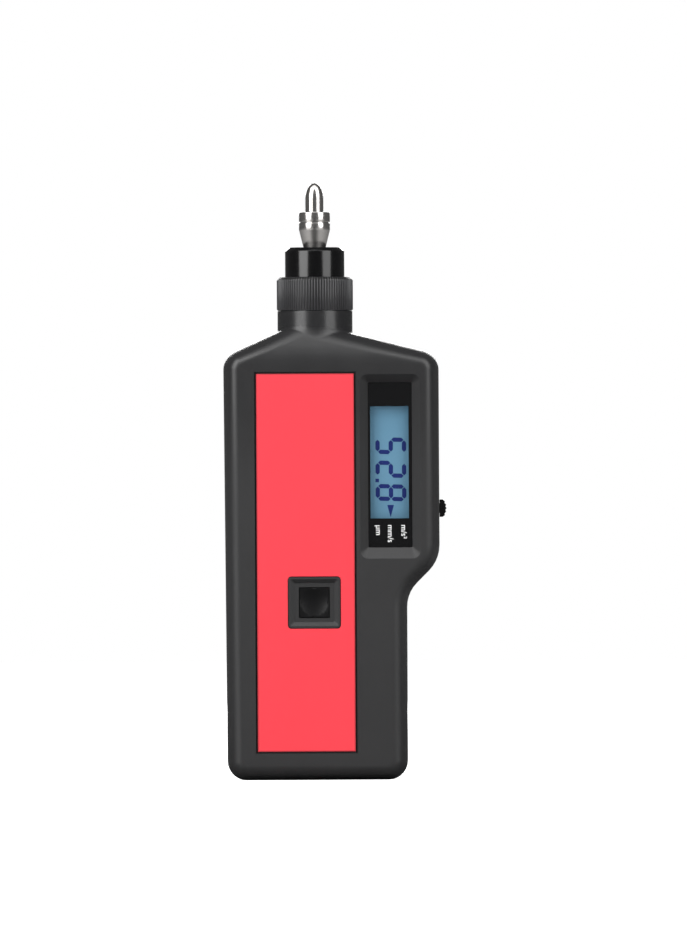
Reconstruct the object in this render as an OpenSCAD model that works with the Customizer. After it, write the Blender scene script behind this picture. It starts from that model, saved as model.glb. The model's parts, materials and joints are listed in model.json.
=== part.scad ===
/* [Housing] */
// Width of the grip, which is centred on the probe axis
grip_w = 56.2; // [52:0.2:60]
// How far the head stands out past the grip on the right
head_step = 10.1; // [8:0.1:12]
// Depth of the closed housing, front to back
body_d = 30; // [29:0.5:34]
// Height at which the grip side line meets the slant under the head
step_z = 57.8; // [54:0.1:62]
// Lean of the left side, in degrees: the grip is a little narrower at its base
left_lean = 0.33; // [0:0.01:0.5]
// Height of the corner of the right shoulder
shoulder_right_z = 131.45; // [130:0.1:134]
// Height of the corner of the left shoulder
shoulder_left_z = 131.15; // [130:0.1:134]
// Rise of the right shoulder towards the neck, in degrees
shoulder_right_angle = 13.9; // [12:0.1:15]
// Rise of the left shoulder towards the neck, in degrees
shoulder_left_angle = 23.6; // [21:0.1:25]
// Height at which both shoulders end inside the neck
shoulder_top_z = 141.5; // [140:0.1:142]
// Radius of the two corners at the base
base_corner_r = 5.9; // [5:0.1:8]
// Radius of the hollow under the head
step_foot_r = 10.5; // [8:0.1:12]
// Radius of the round at the lower edge of the head
step_head_r = 11.4; // [8:0.1:12]
// Radius of the right shoulder corner
shoulder_right_r = 5.8; // [5:0.1:7]
// Radius of the left shoulder corner
shoulder_left_r = 6.2; // [5:0.1:7]
// Half width of the straight side wall about the parting line
side_land = 7; // [6:0.1:8]
// How far the rounded edge is drawn in where it meets the front
edge_inset = 4.6; // [4.2:0.1:5]
// Turn of the wide arc of the rounded edge, in degrees
edge_turn = 30; // [26:1:34]
// Height at which the front starts to fall back towards the neck
brow_z = 129.2; // [127:0.1:129.6]
// Height over which the front turns into that slope
brow_run = 4.5; // [4:0.1:6]
// Slope of the front above the brow, in degrees
brow_angle = 25; // [22:1:28]
// Thickness of the housing wall
wall = 2.2; // [1.8:0.1:2.4]
// Depth of the groove along the parting line
seam_depth = 0.25; // [0.1:0.05:0.4]
// How far the parting line lies behind the middle of the side
seam_y = 1.5; // [1:0.1:2.5]

/* [Neck] */
// How far the clamp ring stands out past the neck
neck_step = 0.2; // [0:0.1:0.5]
// Height of the top of the neck, where the clamp ring sits
neck_top_z = 145.2; // [144:0.1:146]
// Wall of the spigot that the clamp ring turns on
spigot_wall = 1.5; // [1.2:0.1:1.8]
// Height of the spigot above the neck
spigot_h = 6.5; // [6:0.1:7]
// Wall of the tube that carries the neck on inside the head
neck_tube_wall = 1.7; // [1.4:0.1:2.4]
// Height of the lower end of that tube
neck_tube_z = 126.2; // [125:0.1:127]
// Width of the ledge that closes the lower end of the tube
neck_ledge = 1.6; // [1:0.1:2]
// Thickness of that ledge
neck_ledge_t = 1.6; // [1:0.1:2]

/* [Pickup] */
// How far the flange that the clamp ring holds down stands out past the case
flange_lap = 0.625; // [0.4:0.025:0.8]
// How far the case is drawn in where it passes through the lip of the ring
lip_relief = 0.3; // [0.2:0.05:0.4]
// Height of the top of the pickup case
case_top_z = 164.9; // [163:0.1:167]
// Chamfer round the top of the pickup case
case_chamfer = 1.1; // [0.6:0.1:1.6]
// Running clearance of the case in the neck
case_gap = 0.2; // [0.1:0.05:0.3]
// Height of the lower end of the case
case_bottom_z = 134.4; // [134:0.1:136]
// Clearance of the flange inside the clamp ring
flange_gap = 0.25; // [0.15:0.05:0.4]
// Thickness of the flange
flange_t = 1.1; // [0.8:0.1:1.4]
// Height of the shoulder under the flange
flange_foot_h = 0.9; // [0.8:0.05:1.2]
// How far that shoulder lies in from the edge of the flange
flange_foot_inset = 0.8; // [0.6:0.1:1]
// Wall of the case round the chamber of the sensing stack
case_wall = 1.5; // [1.3:0.1:1.8]
// Thickness of the top of the case, which the stack is bolted to
case_roof = 3.6; // [3:0.1:5]

/* [Clamp ring] */
// Diameter over the knurl of the clamp ring
ring_d = 23.6; // [23.2:0.1:24.4]
// Thickness of the clamp ring over its ribs
ring_wall = 1.75; // [1.6:0.05:2]
// Height of the clamp ring
ring_h = 10.4; // [10:0.1:11]
// Number of ribs round the clamp ring
ring_ribs = 84; // [60:2:96]
// Depth of the grooves between the ribs
ring_groove = 0.32; // [0.15:0.01:0.4]
// Chamfer at the top of the clamp ring
ring_chamfer = 1; // [0.6:0.1:1.2]
// Chamfer at the foot of the clamp ring
ring_foot_chamfer = 0.4; // [0.2:0.1:0.6]
// Thickness of the lip over the flange
ring_lip_t = 2; // [1.6:0.1:2.2]
// Clearance of the lip round the pickup case
ring_lip_gap = 0.1; // [0.08:0.01:0.15]
// Radial running clearance of the ring on the spigot
ring_run_gap = 0.05; // [0.02:0.01:0.08]

/* [Probe] */
// Diameter of the foot of the steel adapter
adapter_foot_d = 6.9; // [6.2:0.1:8]
// Largest diameter of the adapter and of the tip collar
adapter_d = 9.6; // [9:0.1:11]
// Height of the cone of the adapter
adapter_cone_h = 5.4; // [4.5:0.1:6.5]
// Height of the straight part of the adapter
adapter_band_h = 2.2; // [1.8:0.1:3]
// Height of the dark groove under the tip collar
tip_groove_h = 0.3; // [0.2:0.05:0.5]
// Depth of that groove
tip_groove_depth = 0.4; // [0.2:0.1:0.6]
// Height of the tip collar
tip_collar_h = 3; // [2.5:0.1:3.6]
// Diameter of the tip rod
tip_d = 5.6; // [5:0.1:6.4]
// Height of the straight part of the tip rod
tip_rod_h = 4.2; // [3.5:0.1:6]
// Height of the rounded nose of the tip
tip_nose_h = 4.9; // [4:0.1:6]
// Diameter of the stud that holds the tip in the adapter
tip_stud_d = 4; // [3.6:0.1:4.4]
// Length of that stud
tip_stud_h = 5; // [4:0.1:5.5]

/* [Label and window] */
// Width of the red front label
label_w = 30.2; // [28:0.1:31]
// Height of the red front label
label_h = 116.8; // [114:0.1:118]
// Centre of the label, right of the probe axis
label_x = -3.2; // [-4:0.1:-2.8]
// Height of the middle of the label
label_z = 67.3; // [66.5:0.1:68]
// Thickness of the label
label_t = 0.8; // [0.5:0.1:1]
// Gap round the label
label_gap = 0.6; // [0.4:0.1:1]
// How far the label lies below the front face
label_sink = 0.1; // [0:0.05:0.3]
// Centre of the display window, right of the probe axis
window_x = 23; // [22.5:0.1:23.2]
// Height of the middle of the display window
window_z = 97.4; // [97:0.05:98.5]
// Width of the display window
window_w = 13.6; // [13:0.1:14.4]
// Height of the display window
window_h = 51.1; // [48:0.1:52]
// Radius of the corners of the window
window_r = 0.4; // [0.2:0.1:1]
// Depth of the recess that leads to the window
recess_depth = 2.2; // [1.8:0.1:2.4]
// Slant of the recess at its two sides
recess_side = 2.5; // [2:0.1:2.9]
// Radius of the outer corners of the recess
recess_r = 2.4; // [1:0.1:3]
// Slant of the recess at its bottom
recess_bottom = 3.4; // [2:0.1:3.6]
// Slant of the recess at its top
recess_top = 2.5; // [2:0.1:2.8]

/* [Measure key] */
// Centre of the key, right of the probe axis
key_x = -0.65; // [-1.5:0.05:0]
// Height of the centre of the key
key_z = 54.95; // [53:0.05:57]
// Width of the raised frame round the key
key_frame_w = 16; // [15.5:0.1:17]
// Height of that frame
key_frame_h = 15.7; // [15.5:0.1:17]
// Width of the flat rim of the frame
key_rim = 0.6; // [0.4:0.1:1]
// Slant of the frame's inner sides
key_slant = 1.2; // [0.8:0.1:1.6]
// Depth of the frame
key_dish_depth = 0.9; // [0.6:0.1:1.2]
// Side of the square opening for the key
key_hole_w = 9.5; // [9:0.1:10]
// Gap round the key
key_gap = 0.25; // [0.15:0.05:0.4]
// How far the key stands above the floor of the frame
key_proud = 0.3; // [0.1:0.1:0.6]
// Depth of the finger dish in the key
key_finger_depth = 0.7; // [0.4:0.1:1]
// Travel of the key
key_travel = 1; // [0.6:0.1:1.2]

/* [Selector] */
// Height of the middle of the selector knob
selector_z = 83.9; // [82:0.1:86]
// Length of the knob along the side
knob_l = 5.4; // [4.8:0.1:6]
// Width of the knob, front to back
knob_w = 5.2; // [4.6:0.1:6]
// How far the knob stands out from the side
knob_h = 2.3; // [1.8:0.1:2.6]
// Radius of the crown of the knob
knob_crown_r = 4.5; // [4:0.1:6]
// Number of grip ridges on the knob
knob_ridges = 5; // [3:1:6]
// Travel of the selector to each side of its middle position
selector_travel = 3; // [2.5:0.1:3.2]

/* [Battery] */
// Width of the 9 V block battery
battery_w = 26.4; // [26:0.1:26.6]
// Depth of the battery
battery_d = 17; // [16.5:0.1:17.2]
// Height of the battery body without its terminals
battery_h = 46; // [45:0.1:46.6]
// Height of the terminals
terminal_h = 2.6; // [2.2:0.1:3]
// Distance between the two terminals
terminal_pitch = 12.8; // [12.4:0.1:13]
// Clearance round the battery
battery_gap = 0.4; // [0.3:0.05:0.8]
// Wall of the battery bay
bay_wall = 1.2; // [0.8:0.1:1.6]
// Floor of the battery bay, behind the circuit board
bay_floor = 0.7; // [0.6:0.1:0.8]
// Height of the lower end of the battery bay
bay_z = 4.6; // [4:0.1:5]
// Thickness of the battery cover
cover_t = 1.6; // [1.4:0.1:1.7]
// Width of the battery cover
cover_w = 33; // [32:0.1:34]
// Height of the upper end of the battery cover
cover_top_z = 62.4; // [62:0.1:63]
// Width and thickness of the cover's rails
cover_rail = 0.8; // [0.6:0.1:0.9]
// Sliding clearance round the cover
cover_gap = 0.1; // [0.06:0.01:0.15]

/* [Electronics] */
// Thickness of the circuit board
board_t = 1.6; // [1.4:0.1:1.6]
// How far the front face of the board lies in front of the middle of the side
board_front = 6.6; // [6.5:0.05:6.8]
// Height of the lower edge of the board
board_z = 46; // [44:0.5:47]
// Height of the upper edge of the board
board_top_z = 123.4; // [122:0.1:124]
// Gap between the left edge of the board and the screw bosses
board_boss_gap = 1.7; // [1:0.1:2.2]
// Gap between the board and the right wall of the grip
board_grip_gap = 2.1; // [1.5:0.1:3]
// Gap between the board and the right wall of the head
board_head_gap = 1.6; // [1.4:0.1:2]
// Thickness of the window lens
lens_t = 1.5; // [1.2:0.1:1.5]
// Thickness of the flange that seats the lens from inside
lens_flange_t = 0.8; // [0.6:0.1:0.9]
// Width of that flange
lens_flange = 0.9; // [0.6:0.1:1]
// Width of the display glass
glass_w = 15.2; // [14.4:0.1:15.4]
// Height of the display glass
glass_h = 41; // [40:0.1:42]
// Thickness of one sheet of the display glass
glass_t = 1.1; // [0.9:0.05:1.1]
// Diameter of the four case screw bosses
boss_d = 5.6; // [5.4:0.1:6]
// Diameter of the case screws
screw_d = 2.4; // [2.2:0.1:2.6]

/* [Hidden] */

$fn = 96;
// One overrun for every cut
over = 1;
// Play between flat pieces that lie on each other
play = 0.1;

half_d = body_d / 2;
grip_x = grip_w / 2;
head_x = grip_x + head_step;
inner_corner_r = 0.6;

// Diameters about the probe axis, from the clamp ring inwards
neck_d = ring_d - 2 * neck_step;
ring_bore_d = ring_d - 2 * ring_wall;
spigot_d = ring_bore_d - 2 * ring_run_gap;
neck_bore_d = spigot_d - 2 * spigot_wall;
neck_tube_d = neck_bore_d + 2 * neck_tube_wall;
flange_d = ring_bore_d - 2 * flange_gap;
flange_foot_d = flange_d - 2 * flange_foot_inset;
case_d = flange_d - 2 * flange_lap;
case_lip_d = case_d - 2 * lip_relief;
case_lower_d = neck_bore_d - 2 * case_gap;
chamber_d = case_lower_d - 2 * case_wall;

// Points per rounded corner of the outline
corner_steps = 7;
s_steps = 5;
// Points on the wide arc and on the tight arc of the rounded edge
wide_steps = 3;
tight_steps = 5;

// The rounded edge is two tangent arcs: a wide one and a tight one
band_depth = half_d - side_land;
edge_tight_r = (band_depth * (1 - cos(edge_turn)) - edge_inset * sin(edge_turn))
             / ((1 - sin(edge_turn)) * (1 - cos(edge_turn)) - cos(edge_turn) * sin(edge_turn));
edge_wide_r = (band_depth - edge_tight_r * (1 - sin(edge_turn))) / sin(edge_turn);

// Inset of the outline at a turn of the rounded edge, and the depth there
function edge_in(turn) =
    turn <= edge_turn ? edge_wide_r * (1 - cos(turn))
    : edge_wide_r * (1 - cos(edge_turn)) + edge_tight_r * (cos(edge_turn) - cos(turn));
function edge_out(turn) =
    turn <= edge_turn ? side_land + edge_wide_r * sin(turn)
    : side_land + edge_wide_r * sin(edge_turn) + edge_tight_r * (sin(turn) - sin(edge_turn));

edge_turns = [for (i = [1 : wide_steps]) edge_turn * i / wide_steps,
              for (i = [1 : tight_steps]) edge_turn + (90 - edge_turn) * i / tight_steps];

// Half depth of the housing at a height, which falls away above the brow
brow_r = brow_run / tan(brow_angle);
function half_depth(z) =
    z < brow_z ? half_d
    : z < brow_z + brow_run ? half_d - (z - brow_z) * (z - brow_z) / (2 * brow_r)
    : half_d - brow_run * brow_run / (2 * brow_r) - tan(brow_angle) * (z - brow_z - brow_run);
// Depth of a ring at a height: the straight side keeps its depth and the rounded edge follows the front
function ring_depth(y, z) =
    y < side_land ? y : side_land + (y - side_land) * (half_depth(z) - side_land) / band_depth;

// Outline of the housing, counter-clockwise from the right corner of the base:
// each entry is [x, z, corner radius (minus for a hollow corner), steps (0 for a plain point)]
top_right_x = head_x - (shoulder_top_z - shoulder_right_z) / tan(shoulder_right_angle);
function left_x(z) = (label_z - z) * tan(left_lean) - grip_x;
shoulder_left_x = left_x(shoulder_left_z);
top_left_x = (shoulder_top_z - shoulder_left_z) / tan(shoulder_left_angle) + shoulder_left_x;
slope_shares = [0.3, 0.5, 0.75];
right_outline = [
    [grip_x, 0, base_corner_r, corner_steps],
    [grip_x, step_z, -step_foot_r, s_steps],
    [head_x, step_z + head_step, step_head_r, s_steps],
    [head_x, shoulder_right_z, shoulder_right_r, corner_steps],
    for (s = slope_shares)
        [head_x + (top_right_x - head_x) * s,
         shoulder_right_z + (shoulder_top_z - shoulder_right_z) * s, 0, 0],
    [top_right_x, shoulder_top_z, 0, 0]
];
// Heights of the points of the slanted stretch, from the top down, repeated on the left side
s_heights = [for (v = [2, 1]) let (list = corner_points(right_outline, v, 0))
    for (k = [s_steps : -1 : 0]) list[k][1]];
left_outline = [
    [top_left_x, shoulder_top_z, 0, 0],
    for (i = [len(slope_shares) - 1 : -1 : 0])
        [shoulder_left_x + (top_left_x - shoulder_left_x) * slope_shares[i],
         shoulder_left_z + (shoulder_top_z - shoulder_left_z) * slope_shares[i], 0, 0],
    [shoulder_left_x, shoulder_left_z, shoulder_left_r, corner_steps],
    for (z = s_heights) [left_x(z), z, 0, 0],
    [left_x(0), 0, base_corner_r, corner_steps]
];
outline = concat(right_outline, left_outline);

// Outward direction of the edge from one point to the next
function edge_normal(a, b) = [b[1] - a[1], a[0] - b[0]] / norm([b[0] - a[0], b[1] - a[1]]);
// Where the offset lines of two edges cross, for an offset of one
function mitre_of(n1, n2) = (n1 + n2) / (1 + n1 * n2);
function unit(angle) = [cos(angle), sin(angle)];

// Points of one corner of a closed outline, drawn in by inset
function corner_points(list, i, inset) =
    let (v = list[i],
         n1 = edge_normal(list[(i + len(list) - 1) % len(list)], v),
         n2 = edge_normal(v, list[(i + 1) % len(list)]),
         mitre = mitre_of(n1, n2),
         start = atan2(n1[1], n1[0]),
         sweep = atan2(n1[0] * n2[1] - n1[1] * n2[0], n1 * n2),
         r = v[2] > 0 ? max(v[2], inset + inner_corner_r) : v[2])
    v[3] == 0 ? [[v[0], v[1]] - inset * mitre]
    : [for (k = [0 : v[3]]) [v[0], v[1]] - r * mitre + (r - inset) * unit(start + sweep * k / v[3])];

// The whole outline drawn in by inset
function inset_outline(inset) = [for (i = [0 : len(outline) - 1]) each corner_points(outline, i, inset)];

// Solid between rings of the outline: each ring is [inset, distance in front of the parting plane].
// The caps run across from the right chain of points to the left one.
module outline_loft(rings) {
    n = len(inset_outline(0));
    half = n / 2;
    last = (len(rings) - 1) * n;
    points = [for (r = rings) for (p = inset_outline(r[0]))
        [p[0], -ring_depth(r[1], p[1]), p[1]]];
    sides = [for (k = [0 : len(rings) - 2], i = [0 : n - 1])
        let (a = k * n + i, b = k * n + (i + 1) % n)
        each [[a, b, b + n], [a, b + n, a + n]]];
    caps = [for (j = [0 : half - 2])
        let (a = j, b = j + 1, c = n - 2 - j, d = n - 1 - j)
        each [[a, c, b], [a, d, c], [last + a, last + b, last + c], [last + a, last + c, last + d]]];
    polyhedron(points, [for (f = concat(sides, caps)) [f[0], f[2], f[1]]]);
}

// Rings of one half of the housing, from the parting line outwards, and those of its hollow
function outer_rings(start) = concat(
    [[seam_depth, start], [0, start + seam_depth], [0, side_land]],
    [for (t = edge_turns) [edge_in(t), edge_out(t)]]);
function inner_rings(start) = concat(
    [[wall, start - over], [wall, side_land]],
    [for (t = [edge_turns[wide_steps - 1], edge_turns[wide_steps + 2], 90])
        [wall + edge_in(t), side_land + (edge_out(t) - side_land) * (band_depth - wall) / band_depth]]);

inner_face = half_d - wall;

// Box from low corner to high corner
module box(low, high) {
    translate(low) cube(high - low);
}

// Cylinder along the front-to-back axis, from depth y1 to y2
module along_y(x, z, d, y1, y2) {
    translate([x, y1, z]) rotate([-90, 0, 0]) cylinder(h = y2 - y1, d = d);
}

// Points of a rectangle [left, right, low, high] with rounded corners, seen from the front
round_steps = 6;
function round_rect(rect, r) = [for (i = [0 : 3], k = [0 : round_steps])
    [i == 1 || i == 2 ? rect[1] - r : rect[0] + r, i > 1 ? rect[3] - r : rect[2] + r]
    + r * unit(180 + 90 * (i + k / round_steps))];
// The same rectangle made smaller on all four sides
function shrunk(rect, gap) = [rect[0] + gap, rect[1] - gap, rect[2] + gap, rect[3] - gap];

// Funnel with slanted sides from a wide rounded rectangle in front to a narrow one behind
module funnel(front, front_r, back, back_r, y_front, y_back) {
    n = 4 * (round_steps + 1);
    polyhedron(concat([for (p = round_rect(front, front_r)) [p[0], y_front, p[1]]],
                      [for (p = round_rect(back, back_r)) [p[0], y_back, p[1]]]),
        [[for (i = [n - 1 : -1 : 0]) i], [for (i = [n : 2 * n - 1]) i],
         for (i = [0 : n - 1]) let (j = (i + 1) % n) each [[i, j + n, i + n], [i, j, j + n]]]);
}

// Plate with rounded corners, from depth y1 to y2
module rounded_plate(rect, r, y1, y2) {
    translate([0, y2, 0]) rotate([90, 0, 0]) linear_extrude(height = y2 - y1)
        polygon(round_rect(rect, r));
}

// Places of the four case screws, seated in the corners of the housing
boss_inset = 6.2;
boss_low_z = 9.4;
boss_left_z = 120.8;
boss_right_inset = 4.6;
boss_right_drop = 4.4;
screw_places = [
    [boss_inset - grip_x, boss_low_z], [grip_x - boss_inset, boss_low_z],
    [boss_inset - grip_x, boss_left_z],
    [head_x - boss_right_inset, shoulder_right_z - boss_right_drop]
];
screw_gap = 0.2;
screw_hole_d = screw_d + 2 * screw_gap;
screw_head_d = 4.4;
screw_head_h = 1.9;
screw_head_gap = 0.3;
screw_sink_d = screw_head_d + 2 * screw_head_gap;
screw_seat_y = 7.6;
screw_pilot_depth = 8.6;
screw_pilot_spare = 1;

// Tube of the neck, seen from the front as one half or from the back as the other
module neck_solid(side) {
    intersection() {
        union() {
            translate([0, 0, shoulder_right_z])
                cylinder(h = neck_top_z - shoulder_right_z, d = neck_d);
            translate([0, 0, neck_top_z - over]) cylinder(h = spigot_h + over, d = spigot_d);
            translate([0, 0, neck_tube_z])
                cylinder(h = shoulder_right_z - neck_tube_z + over, d = neck_tube_d);
        }
        translate([-neck_d, seam_y - (side > 0 ? 0 : 2 * neck_d), neck_tube_z - over])
            cube([2 * neck_d, 2 * neck_d, neck_top_z + spigot_h - neck_tube_z + 2 * over]);
    }
}

module neck_bore() {
    translate([0, 0, neck_tube_z + neck_ledge_t])
        cylinder(h = neck_top_z + spigot_h - neck_tube_z, d = neck_bore_d);
    translate([0, 0, neck_tube_z - over])
        cylinder(h = neck_ledge_t + 2 * over, d = neck_bore_d - 2 * neck_ledge);
}

// One half of the housing: in front of the parting line for side -1, behind it for side 1
module half_shell(side) {
    mirror([0, side > 0 ? 1 : 0, 0]) difference() {
        outline_loft(outer_rings(side * seam_y));
        outline_loft(inner_rings(side * seam_y));
    }
    neck_solid(side);
}

selector_stem_w = 3.8;
selector_stem_l = 3;
slot_side_gap = 0.2;
slot_end_gap = 0.3;
selector_slot_w = selector_stem_w + 2 * slot_side_gap;
selector_slot_l = selector_stem_l + 2 * selector_travel + 2 * slot_end_gap;

module selector_slot() {
    box([head_x - wall - over, -selector_slot_w / 2, selector_z - selector_slot_l / 2],
        [head_x + over, selector_slot_w / 2, selector_z + selector_slot_l / 2]);
}

window_left = window_x - window_w / 2;
window_right = window_x + window_w / 2;
window_low = window_z - window_h / 2;
window_high = window_z + window_h / 2;
window_rect = [window_left, window_right, window_low, window_high];
recess_rect = [window_left - recess_side, window_right + recess_side,
               window_low - recess_bottom, window_high + recess_top];
recess_floor_y = recess_depth - half_d;
pad_left_margin = 0.6;
pad_right_margin = 1.6;
pad_back_y = recess_floor_y + lens_t;

board_y = -board_front;
board_left = boss_inset - grip_x + boss_d / 2 + board_boss_gap;
board_grip_x = grip_x - wall - board_grip_gap;
board_head_x = head_x - wall - board_head_gap;
post_d = 4.6;
post_hole_depth = 4;
post_edge = 3.2;
post_top_drop = 6.4;
post_mid_rise = 23.5;
post_low_edge = 3.6;
post_low_rise = 4;
board_screw_d = 1.9;
post_places = [
    [board_left + post_edge, board_top_z - post_top_drop],
    [board_left + post_edge, board_z + post_mid_rise],
    [board_grip_x - post_low_edge, board_z + post_low_rise]
];

key_half = key_hole_w / 2;
key_floor_y = key_dish_depth - half_d;
key_frame = [key_x - key_frame_w / 2, key_x + key_frame_w / 2,
             key_z - key_frame_h / 2, key_z + key_frame_h / 2];
key_frame_r = 0.9;
key_floor_r = 0.4;

module front_shell() color([0.23, 0.23, 0.24]) {
    difference() {
        union() {
            half_shell(-1);
            // Pad that frames the window from inside
            box([recess_rect[0] - pad_left_margin, -inner_face - play, recess_rect[2]],
                [recess_rect[1] + pad_right_margin, pad_back_y, recess_rect[3]]);
            for (p = screw_places) along_y(p[0], p[1], boss_d, -inner_face - play, seam_y);
            for (p = post_places) along_y(p[0], p[1], post_d, -inner_face - play, board_y);
        }
        neck_bore();
        selector_slot();
        for (p = screw_places) along_y(p[0], p[1], screw_d + play, -screw_pilot_depth, seam_y + over);
        for (p = post_places)
            along_y(p[0], p[1], board_screw_d + play, board_y - post_hole_depth, board_y + over);
        // Recess of the label, round the raised frame of the key
        difference() {
            translate([label_x - label_w / 2 - label_gap, -half_d - over,
                       label_z - label_h / 2 - label_gap])
                cube([label_w + 2 * label_gap, label_t + label_sink + over, label_h + 2 * label_gap]);
            rounded_plate(key_frame, key_frame_r, -half_d - 2 * over, label_t + label_sink + over - half_d);
        }
        // Slanted recess and opening of the window
        funnel(recess_rect, recess_r, window_rect, window_r, -half_d, recess_floor_y);
        rounded_plate(window_rect, window_r, recess_floor_y - over, pad_back_y + over);
        // Dished frame and square hole of the key
        funnel(shrunk(key_frame, key_rim), key_frame_r - key_rim / 2,
               shrunk(key_frame, key_rim + key_slant), key_floor_r, -half_d, key_floor_y);
        box([key_x - key_half, -half_d - over, key_z - key_half],
            [key_x + key_half, over - inner_face, key_z + key_half]);
    }
}

battery_y = inner_face + wall - cover_t - battery_gap / 2;
bay_half_w = battery_w / 2 + battery_gap;
bay_front_y = battery_y - battery_d - battery_gap / 2;
bay_drop = 1;
bay_top_z = cover_top_z - bay_wall - bay_drop;
cover_half_w = cover_w / 2;
cover_back_y = half_d - cover_t;

// Side view of the battery cover: it follows the rounded lower edge of the housing
function turn_at(y) = y < edge_out(edge_turn) ? asin((y - side_land) / edge_wide_r)
    : asin((y - edge_out(edge_turn)) / edge_tight_r + sin(edge_turn));
cover_arc_steps = 6;
module cover_side() {
    start = turn_at(cover_back_y);
    turns = [for (i = [0 : cover_arc_steps]) start + (90 - start) * i / cover_arc_steps];
    polygon(concat([for (t = turns) [edge_out(t), edge_in(t)]],
                   [[half_d, cover_top_z], [cover_back_y, cover_top_z]]));
}

module rear_shell() color([0.22, 0.22, 0.23]) {
    difference() {
        union() {
            half_shell(1);
            for (p = screw_places) along_y(p[0], p[1], boss_d, seam_y, inner_face + play);
            // Walls of the battery bay
            box([-bay_half_w - bay_wall, bay_front_y - bay_floor, bay_z - bay_wall],
                [bay_half_w + bay_wall, inner_face + play, bay_top_z + bay_wall]);
        }
        neck_bore();
        selector_slot();
        for (p = screw_places) {
            along_y(p[0], p[1], screw_hole_d, -over, half_d + over);
            along_y(p[0], p[1], screw_sink_d, screw_seat_y, half_d + over);
        }
        // Battery bay, open at the back
        box([-bay_half_w, bay_front_y, bay_z], [bay_half_w, half_d + over, bay_top_z]);
        // Notch for the battery leads
        box([-lead_notch_w / 2, bay_front_y, bay_top_z - over],
            [lead_notch_w / 2, bay_front_y + lead_notch_d, bay_top_z + bay_wall + over]);
        // Seat of the battery cover, open at the lower edge, with a groove for each rail
        box([-cover_half_w - cover_gap, cover_back_y - cover_gap, -over],
            [cover_half_w + cover_gap, half_d + over, cover_top_z + cover_gap]);
        box([-cover_half_w - cover_rail - 2 * cover_gap, cover_back_y - cover_gap, -over],
            [cover_half_w + cover_rail + 2 * cover_gap, cover_back_y + cover_rail + cover_gap,
             cover_top_z + cover_gap]);
    }
}

module front_label() color([0.93, 0.12, 0.14])
    difference() {
        translate([label_x - label_w / 2, label_sink - half_d, label_z - label_h / 2])
            cube([label_w, label_t, label_h]);
        rounded_plate(shrunk(key_frame, -2 * play), key_frame_r + 2 * play,
                      -half_d - over, label_t + label_sink + over - half_d);
    }

lens_play = play / 2;
module window_lens() color([0.1, 0.1, 0.11, 0.6]) {
    rounded_plate(shrunk(window_rect, lens_play), window_r, recess_floor_y, pad_back_y);
    box([window_left - lens_flange, pad_back_y, window_low - lens_flange],
        [window_right + lens_flange, pad_back_y + lens_flange_t, window_high + lens_flange]);
}

lcd_front_y = pad_back_y + lens_flange_t + play;
glass_left = window_x - glass_w / 2;
glass_right = window_x + glass_w / 2;
glass_rise = 0.6;
glass_low = window_z - glass_h / 2 + glass_rise;
glass_high = glass_low + glass_h;
glass_ledge = 2.6;
module lcd_panel() color([0.36, 0.55, 0.65]) {
    box([glass_left, lcd_front_y, glass_low + glass_ledge],
        [glass_right, lcd_front_y + glass_t, glass_high - glass_ledge]);
    box([glass_left, lcd_front_y + glass_t, glass_low],
        [glass_right, lcd_front_y + 2 * glass_t, glass_high]);
}

lcd_back_y = lcd_front_y + 2 * glass_t;
module lcd_backlight() color([0.9, 0.93, 0.9])
    box([glass_left, lcd_back_y, glass_low + glass_ledge],
        [glass_right, board_y - play, glass_high - glass_ledge]);

frame_wall = 1;
module lcd_frame() color([0.12, 0.12, 0.13])
    difference() {
        box([glass_left - play - frame_wall, lcd_front_y, glass_low - play - frame_wall],
            [glass_right + play + frame_wall, board_y, glass_high + play + frame_wall]);
        box([glass_left - play, lcd_front_y - over, glass_low - play],
            [glass_right + play, board_y + over, glass_high + play]);
    }

zebra_t = 1.6;
zebra_inset = 1;
module zebra_strips() color([0.75, 0.6, 0.65])
    for (z = [glass_low + play, glass_high - play - zebra_t])
        box([glass_left + zebra_inset, lcd_back_y, z], [glass_right - zebra_inset, board_y, z + zebra_t]);

module main_board() color([0.05, 0.33, 0.18])
    difference() {
        translate([0, board_y + board_t, 0]) rotate([90, 0, 0]) linear_extrude(height = board_t)
            polygon([[board_left, board_z], [board_grip_x, board_z],
                     [board_grip_x, step_z + wall],
                     [board_head_x, step_z + wall + board_head_x - board_grip_x],
                     [board_head_x, board_top_z], [board_left, board_top_z]]);
        for (p = post_places) along_y(p[0], p[1], board_screw_d + 2 * play, board_y - over, 0);
    }

board_back_y = board_y + board_t;
board_screw_head_d = 3.8;
board_screw_head_h = 1.2;
board_screw_l = 3.4;
module board_screws() color([0.75, 0.75, 0.78])
    for (p = post_places) {
        along_y(p[0], p[1], board_screw_d, board_y - board_screw_l, board_back_y);
        along_y(p[0], p[1], board_screw_head_d, board_back_y, board_back_y + board_screw_head_h);
    }

tact_w = 6;
tact_h = 3.4;
plunger_d = 3.5;
plunger_h = 1;
plunger_in = 1.4;
plunger_gap = 0.05;
tact_front_y = board_y - tact_h;
module tact_switch_body() color([0.15, 0.15, 0.16])
    difference() {
        box([key_x - tact_w / 2, tact_front_y, key_z - tact_w / 2],
            [key_x + tact_w / 2, board_y, key_z + tact_w / 2]);
        along_y(key_x, key_z, plunger_d + 2 * plunger_gap, tact_front_y - over,
                tact_front_y + plunger_in + key_travel + play);
    }

module tact_plunger() color([0.85, 0.83, 0.75])
    along_y(key_x, key_z, plunger_d, tact_front_y - plunger_h, tact_front_y + plunger_in);

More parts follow.
